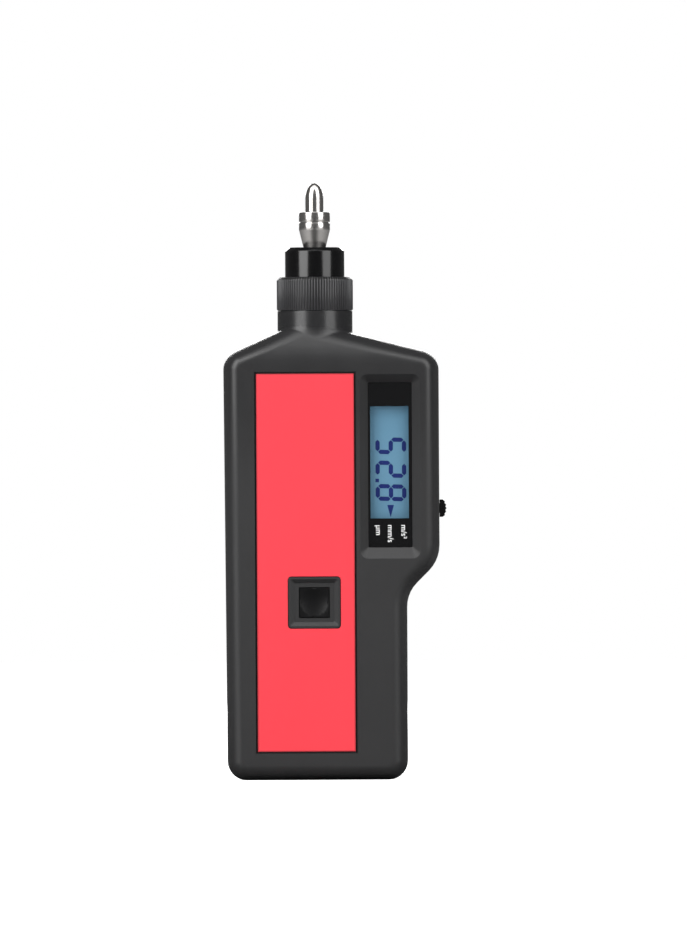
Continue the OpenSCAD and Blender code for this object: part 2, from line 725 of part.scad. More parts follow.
// The key: a square cap with a hollow for the finger, a flange inside and a stem to the plunger
key_w = key_hole_w - 2 * key_gap;
key_front_y = key_floor_y - key_proud;
key_flange_lap = 1.05;
key_flange_w = key_hole_w + 2 * key_flange_lap;
key_flange_t = 0.8;
key_flange_y = play - inner_face;
key_stem_d = 3.6;
finger_r = (key_w * key_w / 4 + key_finger_depth * key_finger_depth) / (2 * key_finger_depth);
module measure_key() color([0.05, 0.05, 0.055]) {
    difference() {
        box([key_x - key_w / 2, key_front_y, key_z - key_w / 2],
            [key_x + key_w / 2, key_flange_y, key_z + key_w / 2]);
        translate([key_x, key_front_y - finger_r + key_finger_depth, key_z]) sphere(r = finger_r);
    }
    box([key_x - key_flange_w / 2, key_flange_y, key_z - key_flange_w / 2],
        [key_x + key_flange_w / 2, key_flange_y + key_flange_t, key_z + key_flange_w / 2]);
    along_y(key_x, key_z, key_stem_d, key_flange_y + key_flange_t, tact_front_y - plunger_h);
}

switch_w = 7.4;
switch_d = 6.8;
switch_l = 11.6;
switch_edge = 2;
switch_right_x = board_head_x - switch_edge;
actuator_w = 2.2;
actuator_l = 2.8;
actuator_in = 3.2;
actuator_y = -0.8;
actuator_end_gap = 1.5;
actuator_end_x = head_x - wall - actuator_end_gap;
actuator_gap = 0.15;
module slide_switch_body() color([0.6, 0.6, 0.62])
    difference() {
        box([switch_right_x - switch_w, board_back_y, selector_z - switch_l / 2],
            [switch_right_x, board_back_y + switch_d, selector_z + switch_l / 2]);
        box([switch_right_x - actuator_in - play, actuator_y - actuator_w / 2 - actuator_gap,
             selector_z - actuator_l / 2 - selector_travel - play],
            [switch_right_x + over, actuator_y + actuator_w / 2 + actuator_gap,
             selector_z + actuator_l / 2 + selector_travel + play]);
    }

module selector_slider() color([0.9, 0.9, 0.88])
    box([switch_right_x - actuator_in, actuator_y - actuator_w / 2, selector_z - actuator_l / 2],
        [actuator_end_x, actuator_y + actuator_w / 2, selector_z + actuator_l / 2]);

// The knob outside, its stem through the slot, the dust plate and the lugs that grip the actuator
dust_t = 0.8;
dust_w = 6;
dust_lap = 0.5;
dust_half_l = selector_slot_l / 2 + selector_travel + dust_lap;
dust_x = head_x - wall - 4 * play;
lug_l = 1;
ridge_depth = 0.35;
knob_base_x = head_x + play;
knob_top_x = head_x + knob_h;
crown_x = knob_top_x - knob_crown_r;
function crown_at(z) = crown_x + sqrt(knob_crown_r * knob_crown_r - z * z);
ridge_points = [for (i = [0 : 2 * knob_ridges])
    let (z = knob_l * (i / (2 * knob_ridges) - 0.5))
    [crown_at(z) - (i % 2 == 0 ? ridge_depth : 0), selector_z + z]];
knob_bevel = 0.5;
module selector_cap() color([0.06, 0.06, 0.065]) {
    intersection() {
        translate([0, knob_w / 2, 0]) rotate([90, 0, 0]) linear_extrude(height = knob_w)
            polygon(concat([[knob_base_x, selector_z + knob_l / 2], [knob_base_x, selector_z - knob_l / 2]],
                           ridge_points));
        translate([0, 0, selector_z - knob_l]) linear_extrude(height = 2 * knob_l)
            polygon([[head_x, -knob_w / 2], [knob_top_x - knob_bevel, -knob_w / 2],
                     [knob_top_x, knob_bevel - knob_w / 2], [knob_top_x, knob_w / 2 - knob_bevel],
                     [knob_top_x - knob_bevel, knob_w / 2], [head_x, knob_w / 2]]);
    }
    box([dust_x, -selector_stem_w / 2, selector_z - selector_stem_l / 2],
        [knob_base_x, selector_stem_w / 2, selector_z + selector_stem_l / 2]);
    box([dust_x - dust_t, -dust_w / 2, selector_z - dust_half_l],
        [dust_x, dust_w / 2, selector_z + dust_half_l]);
    for (s = [-1, 1])
        translate([actuator_end_x - lug_l, actuator_y - actuator_w / 2,
                   selector_z + s * (actuator_l / 2 + play + lug_l / 2) - lug_l / 2])
            cube([dust_x - dust_t - actuator_end_x + lug_l, actuator_w, lug_l]);
}

// Chips and other parts on both sides of the board, as shares of the board's width and height from
// its lower left corner and of the usual chip thickness: [left, low, width, height, thickness]
front_chip_shares = [[0.11, 0.54, 0.19, 0.13, 0.9], [0.38, 0.59, 0.12, 0.065, 1],
                     [0.38, 0.46, 0.12, 0.065, 1],
                     [0.13, 0.39, 0.1, 0.08, 1], [0.39, 0.34, 0.085, 0.04, 1.5]];
back_chip_shares = [[0.22, 0.72, 0.23, 0.1, 1.1], [0.49, 0.75, 0.12, 0.065, 1],
                    [0.64, 0.67, 0.14, 0.09, 1.6],
                    [0.14, 0.52, 0.15, 0.065, 1]];
can_shares = [[0.41, 0.57], [0.575, 0.54]];
chip_t = 1.6;
can_d = 6.2;
can_h = 5.6;
board_w = board_head_x - board_left;
board_h = board_top_z - board_z;
function on_board(shares) = [board_left + board_w * shares[0], board_z + board_h * shares[1]];
module chip(shares, y1, y2) {
    low = on_board(shares);
    box([low[0], y1, low[1]], [low[0] + board_w * shares[2], y2, low[1] + board_h * shares[3]]);
}
module signal_chips() color([0.1, 0.1, 0.11]) {
    for (c = front_chip_shares) chip(c, board_y - chip_t * c[4], board_y);
    for (c = back_chip_shares) chip(c, board_back_y, board_back_y + chip_t * c[4]);
    for (p = [for (c = can_shares) on_board(c)])
        along_y(p[0], p[1], can_d, board_back_y, board_back_y + can_h);
}

foam_t = 1.4;
foam_inset = 1;
battery_z = bay_z + foam_t;
battery_top_z = battery_z + battery_h;
battery_mid_y = battery_y - battery_d / 2;
battery_corner_r = 1.8;
small_terminal_d = 5.8;
large_terminal_d = 8.4;
module battery() color([0.16, 0.18, 0.3]) {
    difference() {
        box([-battery_w / 2, battery_y - battery_d, battery_z], [battery_w / 2, battery_y, battery_top_z]);
        for (x = [-1, 1], y = [-1, 1])
            translate([x * battery_w / 2, battery_mid_y + y * battery_d / 2, battery_z - over])
                mirror([x > 0 ? 1 : 0, 0, 0]) mirror([0, y > 0 ? 1 : 0, 0])
                    linear_extrude(height = battery_h + 2 * over) difference() {
                        translate([-over, -over]) square(battery_corner_r + over);
                        translate([battery_corner_r, battery_corner_r]) circle(r = battery_corner_r);
                    }
    }
    translate([-terminal_pitch / 2, battery_mid_y, battery_top_z])
        cylinder(h = terminal_h, d = small_terminal_d);
    translate([terminal_pitch / 2, battery_mid_y, battery_top_z])
        cylinder(h = terminal_h, d = large_terminal_d);
}

module battery_foam() color([0.2, 0.2, 0.2])
    box([-battery_w / 2, battery_y - battery_d + foam_inset, bay_z],
        [battery_w / 2, battery_y - foam_inset, battery_z]);

snap_side_inset = 0.5;
snap_face_inset = 2.2;
snap_w = battery_w - 2 * snap_side_inset;
snap_d = battery_d - 2 * snap_face_inset;
snap_h = 4.6;
snap_z = battery_top_z + play;
snap_top_z = snap_z + snap_h;
module battery_snap() color([0.08, 0.08, 0.08])
    difference() {
        box([-snap_w / 2, battery_mid_y - snap_d / 2, snap_z],
            [snap_w / 2, battery_mid_y + snap_d / 2, snap_top_z]);
        translate([-terminal_pitch / 2, battery_mid_y, snap_z - over])
            cylinder(h = terminal_h + over + play, d = small_terminal_d + 2 * play);
        translate([terminal_pitch / 2, battery_mid_y, snap_z - over])
            cylinder(h = terminal_h + over + play, d = large_terminal_d + 2 * play);
    }

// A wire held inside the housing, in a plane square to X: points are [y, z]
wire_sides = 10;
module wire(x, points, d) {
    last = len(points) - 1;
    ends = [edge_normal(points[0], points[1]), edge_normal(points[last - 1], points[last])];
    function across(i) = i == 0 ? ends[0] : i == last ? ends[1]
        : mitre_of(edge_normal(points[i - 1], points[i]), edge_normal(points[i], points[i + 1]));
    ring_points = [for (i = [0 : last], k = [0 : wire_sides - 1])
        let (turn = unit(360 * k / wire_sides), p = points[i] + d / 2 * turn[1] * across(i))
        [x + d / 2 * turn[0], p[0], p[1]]];
    walls = [for (i = [0 : last - 1], k = [0 : wire_sides - 1])
        let (a = i * wire_sides + k, b = i * wire_sides + (k + 1) % wire_sides)
        each [[a, b + wire_sides, b], [a, a + wire_sides, b + wire_sides]]];
    polyhedron(ring_points, concat(walls,
        [[for (k = [0 : wire_sides - 1]) k]],
        [[for (k = [wire_sides - 1 : -1 : 0]) last * wire_sides + k]]));
}

lead_d = 1.2;
lead_notch_w = 6;
lead_notch_d = 2.4;
lead_y = bay_front_y + lead_notch_d / 2;
lead_rise = 4.4;
module battery_leads() color([0.75, 0.1, 0.1])
    for (x = [-lead_d, lead_d])
        wire(x, [[battery_mid_y, snap_top_z], [battery_mid_y, snap_top_z + lead_d],
                 [lead_y, snap_top_z + lead_d], [lead_y, bay_top_z + lead_rise],
                 [board_back_y + lead_d / 2, bay_top_z + 2 * lead_rise]], lead_d);

module case_screws() color([0.7, 0.7, 0.72])
    for (p = screw_places) {
        along_y(p[0], p[1], screw_d, screw_pilot_spare - screw_pilot_depth, screw_seat_y);
        along_y(p[0], p[1], screw_head_d, screw_seat_y, screw_seat_y + screw_head_h);
    }

socket_d = neck_bore_d - 2 * play;
socket_h = 4.4;
socket_z = neck_tube_z + neck_ledge_t;
pin_d = 1;
pin_pitch = 5.08;
pin_h = 2.8;
pin_gap = 0.1;
socket_floor = 1;
module pickup_socket() color([0.85, 0.85, 0.8])
    difference() {
        translate([0, 0, socket_z]) cylinder(h = socket_h, d = socket_d);
        for (x = [-pin_pitch / 2, pin_pitch / 2])
            translate([x, 0, socket_z + socket_floor]) cylinder(h = socket_h, d = pin_d + 2 * pin_gap);
    }

lead_end_drop = 1;
module signal_leads() color([0.85, 0.85, 0.85])
    for (x = [-pin_pitch / 2, pin_pitch / 2])
        wire(x, [[0, socket_z], [0, neck_tube_z - lead_d],
                 [board_back_y + lead_d / 2, board_top_z - lead_end_drop]], lead_d);

// The pickup turns on one profile: outside from the foot up, then the chamber
flange_z = neck_top_z + spigot_h;
flange_low_z = flange_z + flange_foot_h;
flange_top_z = flange_low_z + flange_t;
ring_z = neck_top_z + play;
ring_top_z = ring_z + ring_h;
seal_r = 0.45;
seal_rise = 2;
seal_z = neck_top_z + seal_rise;
seal_groove = 1.3;
stack_thread_d = 3;
adapter_stud_d = 5;
adapter_stud_h = 2;
module pickup_case() color([0.03, 0.03, 0.035])
    difference() {
        rotate_extrude() polygon([
            [0, case_bottom_z], [case_lower_d / 2, case_bottom_z],
            [case_lower_d / 2, seal_z - seal_groove / 2],
            [case_lower_d / 2 - 2 * seal_r, seal_z - seal_groove / 2],
            [case_lower_d / 2 - 2 * seal_r, seal_z + seal_groove / 2],
            [case_lower_d / 2, seal_z + seal_groove / 2],
            [case_lower_d / 2, flange_z], [flange_foot_d / 2, flange_z],
            [flange_foot_d / 2, flange_low_z], [flange_d / 2, flange_low_z],
            [flange_d / 2, flange_top_z], [case_lip_d / 2, flange_top_z],
            [case_lip_d / 2, ring_top_z + play], [case_d / 2, ring_top_z + play],
            [case_d / 2, case_top_z - case_chamfer], [case_d / 2 - case_chamfer, case_top_z],
            [0, case_top_z]]);
        translate([0, 0, case_bottom_z - over])
            cylinder(h = case_top_z - case_roof - case_bottom_z + over, d = chamber_d);
        translate([0, 0, case_top_z - adapter_stud_h])
            cylinder(h = adapter_stud_h + over, d = adapter_stud_d);
    }

chamber_top_z = case_top_z - case_roof;
mass_gap = 1;
piezo_inset = 1;
piezo_t = 1.8;
mass_d = chamber_d - 2 * mass_gap;
piezo_d = mass_d - 2 * piezo_inset;
mass_h = 6.4;
bolt_head_d = 5.4;
bolt_head_h = 2.6;
module piezo_disc() color([0.8, 0.72, 0.5])
    translate([0, 0, chamber_top_z - piezo_t]) difference() {
        cylinder(h = piezo_t, d = piezo_d);
        translate([0, 0, -over]) cylinder(h = piezo_t + 2 * over, d = stack_thread_d + 2 * play);
    }

module seismic_mass() color([0.55, 0.55, 0.58])
    translate([0, 0, chamber_top_z - piezo_t - mass_h]) difference() {
        cylinder(h = mass_h, d = mass_d);
        translate([0, 0, -over]) cylinder(h = mass_h + 2 * over, d = stack_thread_d + 2 * play);
    }

module preload_bolt() color([0.7, 0.7, 0.72]) {
    translate([0, 0, chamber_top_z - piezo_t - mass_h - bolt_head_h])
        cylinder(h = bolt_head_h, d = bolt_head_d);
    translate([0, 0, chamber_top_z - piezo_t - mass_h]) cylinder(h = mass_h + piezo_t, d = stack_thread_d);
}

plug_t = 3;
plug_rim = 1.2;
module pickup_plug() color([0.8, 0.8, 0.76]) {
    translate([0, 0, case_bottom_z - plug_rim]) cylinder(h = plug_rim, d = case_lower_d);
    translate([0, 0, case_bottom_z]) cylinder(h = plug_t, d = chamber_d - 2 * play);
    for (x = [-pin_pitch / 2, pin_pitch / 2])
        translate([x, 0, case_bottom_z - plug_rim - pin_h]) cylinder(h = pin_h, d = pin_d);
}

module neck_seal() color([0.08, 0.08, 0.08])
    translate([0, 0, seal_z]) rotate_extrude()
        translate([case_lower_d / 2 - seal_r, 0]) circle(r = seal_r, $fn = 32);

adapter_z = case_top_z;
adapter_band_z = adapter_z + adapter_cone_h;
adapter_top_z = adapter_band_z + adapter_band_h;
stud_gap = 0.05;
module tip_adapter() color([0.72, 0.72, 0.72])
    difference() {
        rotate_extrude() polygon([
            [0, adapter_z - adapter_stud_h], [adapter_stud_d / 2, adapter_z - adapter_stud_h],
            [adapter_stud_d / 2, adapter_z], [adapter_foot_d / 2, adapter_z],
            [adapter_d / 2, adapter_band_z], [adapter_d / 2, adapter_top_z], [0, adapter_top_z]]);
        translate([0, 0, adapter_top_z - tip_stud_h - stud_gap])
            cylinder(h = tip_stud_h + over, d = tip_stud_d + 2 * stud_gap);
    }

collar_z = adapter_top_z + tip_groove_h;
rod_z = collar_z + tip_collar_h;
nose_z = rod_z + tip_rod_h;
nose_steps = 12;
module probe_tip() color([0.8, 0.8, 0.8])
    rotate_extrude() polygon(concat([
        [0, adapter_top_z - tip_stud_h], [tip_stud_d / 2, adapter_top_z - tip_stud_h],
        [tip_stud_d / 2, adapter_top_z], [adapter_d / 2 - tip_groove_depth, adapter_top_z],
        [adapter_d / 2 - tip_groove_depth, collar_z], [adapter_d / 2, collar_z],
        [adapter_d / 2, rod_z], [tip_d / 2, rod_z]],
        [for (i = [0 : nose_steps]) let (turn = unit(90 * i / nose_steps))
            [tip_d / 2 * turn[0], nose_z + tip_nose_h * turn[1]]]));

// Straight knurl: a ring of ribs whose ends are cut back by the chamfers
ring_lip_z = ring_top_z - ring_lip_t;
clip_t = 0.6;
clip_z = flange_z + play;
clip_groove = 0.4;
module clamp_ring() color([0.05, 0.05, 0.055])
    difference() {
        intersection() {
            translate([0, 0, ring_z]) linear_extrude(height = ring_h)
                polygon([for (i = [0 : 2 * ring_ribs - 1])
                    (ring_d / 2 - (i % 2 == 0 ? 0 : ring_groove)) * unit(180 * i / ring_ribs)]);
            rotate_extrude() polygon([
                [0, ring_z], [ring_d / 2 - ring_foot_chamfer, ring_z],
                [ring_d / 2 + over, ring_z + ring_foot_chamfer + over],
                [ring_d / 2 + over, ring_top_z - ring_chamfer - over],
                [ring_d / 2 - ring_chamfer, ring_top_z], [0, ring_top_z]]);
        }
        translate([0, 0, ring_z - over])
            cylinder(h = ring_h - ring_lip_t + over, d = ring_bore_d);
        translate([0, 0, clip_z - play / 2])
            cylinder(h = clip_t + play, d = ring_bore_d + 2 * clip_groove);
        translate([0, 0, ring_lip_z - over])
            cylinder(h = ring_lip_t + 2 * over, d = case_d + 2 * ring_lip_gap);
    }

// Open spring ring in the groove of the clamp ring, which lifts the flange when the ring is undone
clip_mouth = 3;
module ring_clip() color([0.7, 0.7, 0.72])
    translate([0, 0, clip_z]) difference() {
        cylinder(h = clip_t, d = ring_bore_d + 2 * clip_groove - play);
        translate([0, 0, -over]) cylinder(h = clip_t + 2 * over, d = flange_foot_d + 2 * play);
        box([0, -clip_mouth / 2, -over], [ring_d, clip_mouth / 2, clip_t + over]);
    }

grip_rib_w = 1;
grip_rib_depth = 0.4;
grip_rib_drop = 3;
grip_ribs = 6;
module battery_cover() color([0.21, 0.21, 0.22])
    difference() {
        union() {
            translate([-cover_half_w, 0, 0]) rotate([90, 0, 90]) linear_extrude(height = cover_w)
                cover_side();
            box([-cover_half_w - cover_rail, cover_back_y, edge_inset],
                [cover_half_w + cover_rail, cover_back_y + cover_rail, cover_top_z]);
        }
        for (i = [0 : grip_ribs - 1]) let (rib_z = cover_top_z - grip_rib_drop - 2 * i * grip_rib_w)
            box([-cover_half_w / 2, half_d - grip_rib_depth, rib_z - grip_rib_w],
                [cover_half_w / 2, half_d + over, rib_z]);
    }

front_shell();
rear_shell();
front_label();
window_lens();
lcd_panel();
lcd_backlight();
lcd_frame();
zebra_strips();
main_board();
board_screws();
tact_switch_body();
slide_switch_body();
signal_chips();
battery();
battery_snap();
battery_leads();
battery_foam();
case_screws();
pickup_socket();
signal_leads();
pickup_case();
piezo_disc();
seismic_mass();
preload_bolt();
pickup_plug();
neck_seal();
tip_adapter();
clamp_ring();
ring_clip();
probe_tip();
measure_key();
tact_plunger();
selector_cap();
selector_slider();
battery_cover();
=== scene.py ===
import json
import math

import bmesh
import bpy
from mathutils import Matrix, Vector
from mathutils.bvhtree import BVHTree

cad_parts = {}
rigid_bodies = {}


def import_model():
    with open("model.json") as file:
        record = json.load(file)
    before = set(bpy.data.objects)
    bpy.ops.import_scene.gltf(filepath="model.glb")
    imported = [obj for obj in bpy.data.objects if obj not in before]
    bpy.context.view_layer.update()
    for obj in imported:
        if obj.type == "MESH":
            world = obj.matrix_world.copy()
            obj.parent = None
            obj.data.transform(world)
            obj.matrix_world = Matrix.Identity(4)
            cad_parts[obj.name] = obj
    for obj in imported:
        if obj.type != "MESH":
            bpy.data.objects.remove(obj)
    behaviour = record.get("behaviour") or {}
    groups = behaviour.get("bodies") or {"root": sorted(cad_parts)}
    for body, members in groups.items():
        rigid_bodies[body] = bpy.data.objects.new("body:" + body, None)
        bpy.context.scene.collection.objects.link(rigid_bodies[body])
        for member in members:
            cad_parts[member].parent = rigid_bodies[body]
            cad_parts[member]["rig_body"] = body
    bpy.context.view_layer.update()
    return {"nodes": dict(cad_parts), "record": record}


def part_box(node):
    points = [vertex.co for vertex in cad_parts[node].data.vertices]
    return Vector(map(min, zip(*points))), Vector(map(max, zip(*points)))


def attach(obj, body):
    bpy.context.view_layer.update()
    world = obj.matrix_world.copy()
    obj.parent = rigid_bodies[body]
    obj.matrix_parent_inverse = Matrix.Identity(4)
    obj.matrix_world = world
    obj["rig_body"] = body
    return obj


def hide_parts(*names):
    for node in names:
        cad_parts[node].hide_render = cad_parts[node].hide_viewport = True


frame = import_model()

MM = 0.001
NODES = frame["nodes"]

# The camera: the photograph is 942 pixels high, at 0.31 mm a pixel, and a little turned
PHOTO_W, PHOTO_H = 687, 942
PIXEL = 0.31 * MM
BASE_ROW = 779.3
AXIS_COLUMN = 315.3
LENS = 600.0
SENSOR = 36.0
LEAN = math.radians(0.315)

# Places of the visible pieces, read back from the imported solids
LABEL_LOW, LABEL_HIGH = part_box("front_label")
RING_LOW, RING_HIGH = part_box("clamp_ring")
CASE_LOW, CASE_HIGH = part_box("pickup_case")
SCREWS_LOW, SCREWS_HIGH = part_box("case_screws")
SPIGOT_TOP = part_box("front_shell")[1].z
ADAPTER_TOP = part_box("tip_adapter")[1].z
TIP_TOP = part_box("probe_tip")[1].z
LENS_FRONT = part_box("window_lens")[0].y
PANEL_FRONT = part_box("lcd_panel")[0].y

# The lit area of the display behind the window
VIEW_LEFT, VIEW_RIGHT = 16.9 * MM, 28.75 * MM
VIEW_LOW, VIEW_HIGH = 80.85 * MM, 115.5 * MM

# The turned neck begins at the first height; the mould is polished on it
NECK_ROOT = 139.6 * MM
NECK_POLISH = 0.12

# Hands have dulled the shell up to the first height; at the second it still has its moulded sheen
HANDLED_BELOW = 82.0 * MM
HEAD_CORNER = 126.0 * MM
HEAD_SHEEN = 0.16


class Channel:
    """A socket of a node tree that can be added, multiplied and compared."""

    def __init__(self, shading, socket):
        self.shading = shading
        self.socket = socket

    def math(self, operation, other=0.0, flipped=False):
        first, second = (other, self) if flipped else (self, other)
        return self.shading.node("ShaderNodeMath", {"operation": operation}, {0: first, 1: second})

    def __add__(self, other):
        return self.math("ADD", other)

    def __radd__(self, other):
        return self.math("ADD", other)

    def __sub__(self, other):
        return self.math("SUBTRACT", other)

    def __rsub__(self, other):
        return self.math("SUBTRACT", other, flipped=True)

    def __mul__(self, other):
        return self.math("MULTIPLY", other)

    def __rmul__(self, other):
        return self.math("MULTIPLY", other)

    def __truediv__(self, other):
        return self.math("DIVIDE", other)

    def __pow__(self, other):
        return self.math("POWER", other)

    def __abs__(self):
        return self.math("ABSOLUTE")

    def __lt__(self, other):
        return self.math("LESS_THAN", other)

    def __gt__(self, other):
        return self.math("GREATER_THAN", other)


class Shading:
    """The node tree of a material or of the room. node() makes every node that is added to it."""

    def __init__(self, owner):
        owner.use_nodes = True
        self.tree = owner.node_tree

    def node(self, kind, settings=None, inputs=None, output=0):
        made = self.tree.nodes.new(kind)
        for name, value in (settings or {}).items():
            setattr(made, name, value)
        for name, value in (inputs or {}).items():
            if isinstance(value, Channel):
                self.tree.links.new(value.socket, made.inputs[name])
            else:
                made.inputs[name].default_value = value
        return Channel(self, made.outputs[output]) if made.outputs else None

    def place(self):
        return self.node("ShaderNodeTexCoord", output="Object")

    def axes(self):
        split = self.node("ShaderNodeSeparateXYZ", inputs={0: self.place()})
        return [Channel(self, output) for output in split.socket.node.outputs]

    def noise(self, scale, detail, roughness, stretch=(1, 1, 1)):
        where = self.node("ShaderNodeMapping", inputs={"Vector": self.place(), "Scale": stretch})
        return self.noise_at(where, scale, detail, roughness)

    def noise_at(self, where, scale, detail, roughness):
        return self.node("ShaderNodeTexNoise", {"noise_dimensions": "3D"},
                         {"Vector": where, "Scale": scale, "Detail": detail, "Roughness": roughness})

    def mix(self, share, first, second):
        return self.node("ShaderNodeMix", {"data_type": "RGBA"}, {0: share, 6: first, 7: second}, output=2)

    def tint(self, share, colour, darkest, lightest):
        """The colour, from its darkest to its lightest multiple as the share goes from 0 to 1."""
        return self.mix(share, rgba(grown(colour, darkest)), rgba(grown(colour, lightest)))

    def ease(self, value, start, end, first, last):
        """A smooth change from first to last while value goes from start to end."""
        return self.node("ShaderNodeMapRange", {"interpolation_type": "SMOOTHSTEP"},
                         {0: value, 1: start, 2: end, 3: first, 4: last})

    def choose(self, ray, otherwise, seen):
        """One shader for the rays that the light path names, another for the rest."""
        test = self.node("ShaderNodeLightPath", output=ray)
        return self.node("ShaderNodeMixShader", inputs={0: test, 1: otherwise, 2: seen})

    def bump(self, height, strength, distance):
        return self.node("ShaderNodeBump", inputs={"Height": height, "Strength": strength,
                                                   "Distance": distance})


class Finish(Shading):
    """One material. Its maker calls surface() once, at the end."""

    def __init__(self, name):
        self.material = bpy.data.materials.new(name)
        super().__init__(self.material)
        self.shader = self.tree.nodes["Principled BSDF"]

    def surface(self, colour, roughness, metallic=0.0, normal=None, specular=0.5, alpha=None,
                glow=None, glow_strength=0.0):
        values = {"Base Color": colour, "Roughness": roughness, "Metallic": metallic, "Normal": normal,
                  "Specular IOR Level": specular, "Alpha": alpha, "Emission Color": glow,
                  "Emission Strength": glow_strength}
        for name, value in values.items():
            if isinstance(value, Channel):
                self.tree.links.new(value.socket, self.shader.inputs[name])
            elif value is not None:
                self.shader.inputs[name].default_value = (*value, 1) if isinstance(value, tuple) else value
        return self.material


def linear(level):
    """One 8-bit screen level as linear light, by the sRGB curve."""
    share = level / 255
    return share / 12.92 if level <= 10 else ((share + 0.055) / 1.055) ** 2.4


def rgb(red, green, blue):
    return linear(red), linear(green), linear(blue)


def rgba(colour):
    return (*colour, 1.0)


def grey(value):
    return (value, value, value, 1)


def grown(colour, factor):
    return tuple(min(1.0, channel * factor) for channel in colour)


GREY_SHELL = rgb(31, 31, 32)
LABEL_RED = rgb(208, 48, 60)


def moulded_plastic(name, colour, roughness, grain, shine=0.5):
    """Injection-moulded plastic with a fine spark-eroded grain and faint handling marks."""
    f = Finish(name)
    return grained_surface(f, colour, roughness, grain, shine)


def grained_surface(f, colour, roughness, grain, shine):
    """Completes a plastic: tone, grain and handling marks over the given roughness."""
    fine = f.noise(scale=4200, detail=3, roughness=0.6)
    broad = f.noise(scale=45, detail=3, roughness=0.5)
    handled = f.noise(scale=160, detail=4, roughness=0.65, stretch=(1, 1, 0.4))
    handled_depth, grain_depth = 0.12, 0.08
    return f.surface(f.tint(broad, colour, 0.92, 1.08),
                     roughness=roughness + (handled - 0.5) * handled_depth + (fine - 0.5) * grain_depth,
                     normal=f.bump(fine, grain, distance=0.04 * MM), specular=shine)


def housing_plastic():
    """The plastic of both shells: dulled by hands low down, glossier at the head and on the neck."""
    f = Finish("housing_dark_grey")
    z = f.axes()[2]
    dull = 0.53
    blend = 1.0 * MM
    roughness = f.ease(z, HANDLED_BELOW, HEAD_CORNER, dull, dull - HEAD_SHEEN)
    roughness = roughness - f.ease(z, NECK_ROOT - blend, NECK_ROOT + blend, 0.0, NECK_POLISH)
    return grained_surface(f, GREY_SHELL, roughness, grain=0.22, shine=0.5)


def red_film():
    """Satin printed film of the front label, with a painted shadow line along its edge where it meets its
    recess.
    """
    f = Finish("red_label_film")
    x, y, z = f.axes()
    fine = f.noise(scale=5200, detail=2, roughness=0.5)
    broad = f.noise(scale=26, detail=2, roughness=0.5)
    middle = (LABEL_LOW + LABEL_HIGH) / 2
    half = (LABEL_HIGH - LABEL_LOW) / 2
    rim = 0.35 * MM
    # Painted shadow: the film is darkened along its edge, where shade falls at the step of its recess.
    edge_shadow_factor, edge_shadow_share = 0.55, 0.8
    edge_x = abs(x - middle.x) > half.x - rim
    edge_z = abs(z - middle.z) > half.z - rim
    edge = edge_x.math("MAXIMUM", edge_z)
    tone = f.mix(edge * edge_shadow_share, f.tint(broad, LABEL_RED, 0.95, 1.05), rgba(grown(LABEL_RED, edge_shadow_factor)))
    return f.surface(tone, roughness=0.48 + (fine - 0.5) * 0.1,
                     normal=f.bump(fine, strength=0.12, distance=0.03 * MM), specular=0.4)


def window_plastic():
    """Clear window with a black printed border that leaves the display open."""
    f = Finish("window_with_black_border")
    x, y, z = f.axes()
    inside = (x > VIEW_LEFT) * (x < VIEW_RIGHT) * (z > VIEW_LOW) * (z < VIEW_HIGH)
    clearness = 0.94
    dust = f.noise(scale=900, detail=2, roughness=0.5)
    return f.surface(rgb(12, 12, 13), roughness=0.12 + dust * 0.05, alpha=1 - inside * clearness)


def display_glass():
    """Lit liquid-crystal panel: blue-grey, brighter towards the middle."""
    f = Finish("display_blue_grey")
    x, y, z = f.axes()
    middle_x, middle_z = (VIEW_LEFT + VIEW_RIGHT) / 2, (VIEW_LOW + VIEW_HIGH) / 2
    off_x, off_z = (x - middle_x) / (VIEW_RIGHT - VIEW_LEFT), (z - middle_z) / (VIEW_HIGH - VIEW_LOW)
    falloff = off_x * off_x + off_z * off_z
    cell = f.noise(scale=9000, detail=1, roughness=0.4)
    middle_tone, corner_tone = rgb(88, 127, 150), rgb(64, 98, 121)
    falloff_share, cell_share = 0.8, 0.06
    tone = f.mix(falloff * falloff_share + cell * cell_share, rgba(middle_tone), rgba(corner_tone))
    return f.surface(tone, roughness=0.3, glow=tone, glow_strength=0.22, specular=0.3)


def flat_ink(name, colour, glow=0.0):
    """Ink of the display segments and of the unit marks, slightly uneven in tone."""
    f = Finish(name)
    speckle = f.noise(scale=7000, detail=2, roughness=0.5)
    tone = f.tint(speckle, colour, 0.9, 1.1)
    return f.surface(tone, roughness=0.5, glow=tone, glow_strength=glow, specular=0.2)


def turned_metal(name, colour, roughness, lines=0.3, pitch=11000.0, metallic=1.0, matt_above=None):
    """Metal turned on a lathe about the probe axis: fine rings round it, coarser on a faced end."""
    f = Finish(name)
    x, y, z = f.axes()
    radius = (x * x + y * y) ** 0.5
    along = f.node("ShaderNodeCombineXYZ", inputs={0: radius, 1: 0.0, 2: z})
    rings = f.noise_at(along, pitch, detail=3, roughness=0.7)
    marks = f.noise(scale=420, detail=4, roughness=0.6)
    if matt_above is not None:
        matt, blend = 0.55, 0.1 * MM
        roughness = f.ease(z, matt_above, matt_above + blend, roughness, matt)
    ring_depth, mark_depth = 0.12, 0.08
    return f.surface(f.tint(rings, colour, 0.85, 1.12), metallic=metallic,
                     roughness=roughness + (rings - 0.5) * ring_depth + (marks - 0.5) * mark_depth,
                     normal=f.bump(rings, lines, distance=0.01 * MM))


def anodised(name, colour, roughness, lines=0.1, matt_above=None):
    """Black anodised aluminium, turned: the dye hides the metal."""
    return turned_metal(name, colour, roughness, lines, pitch=9000.0, metallic=0.0, matt_above=matt_above)


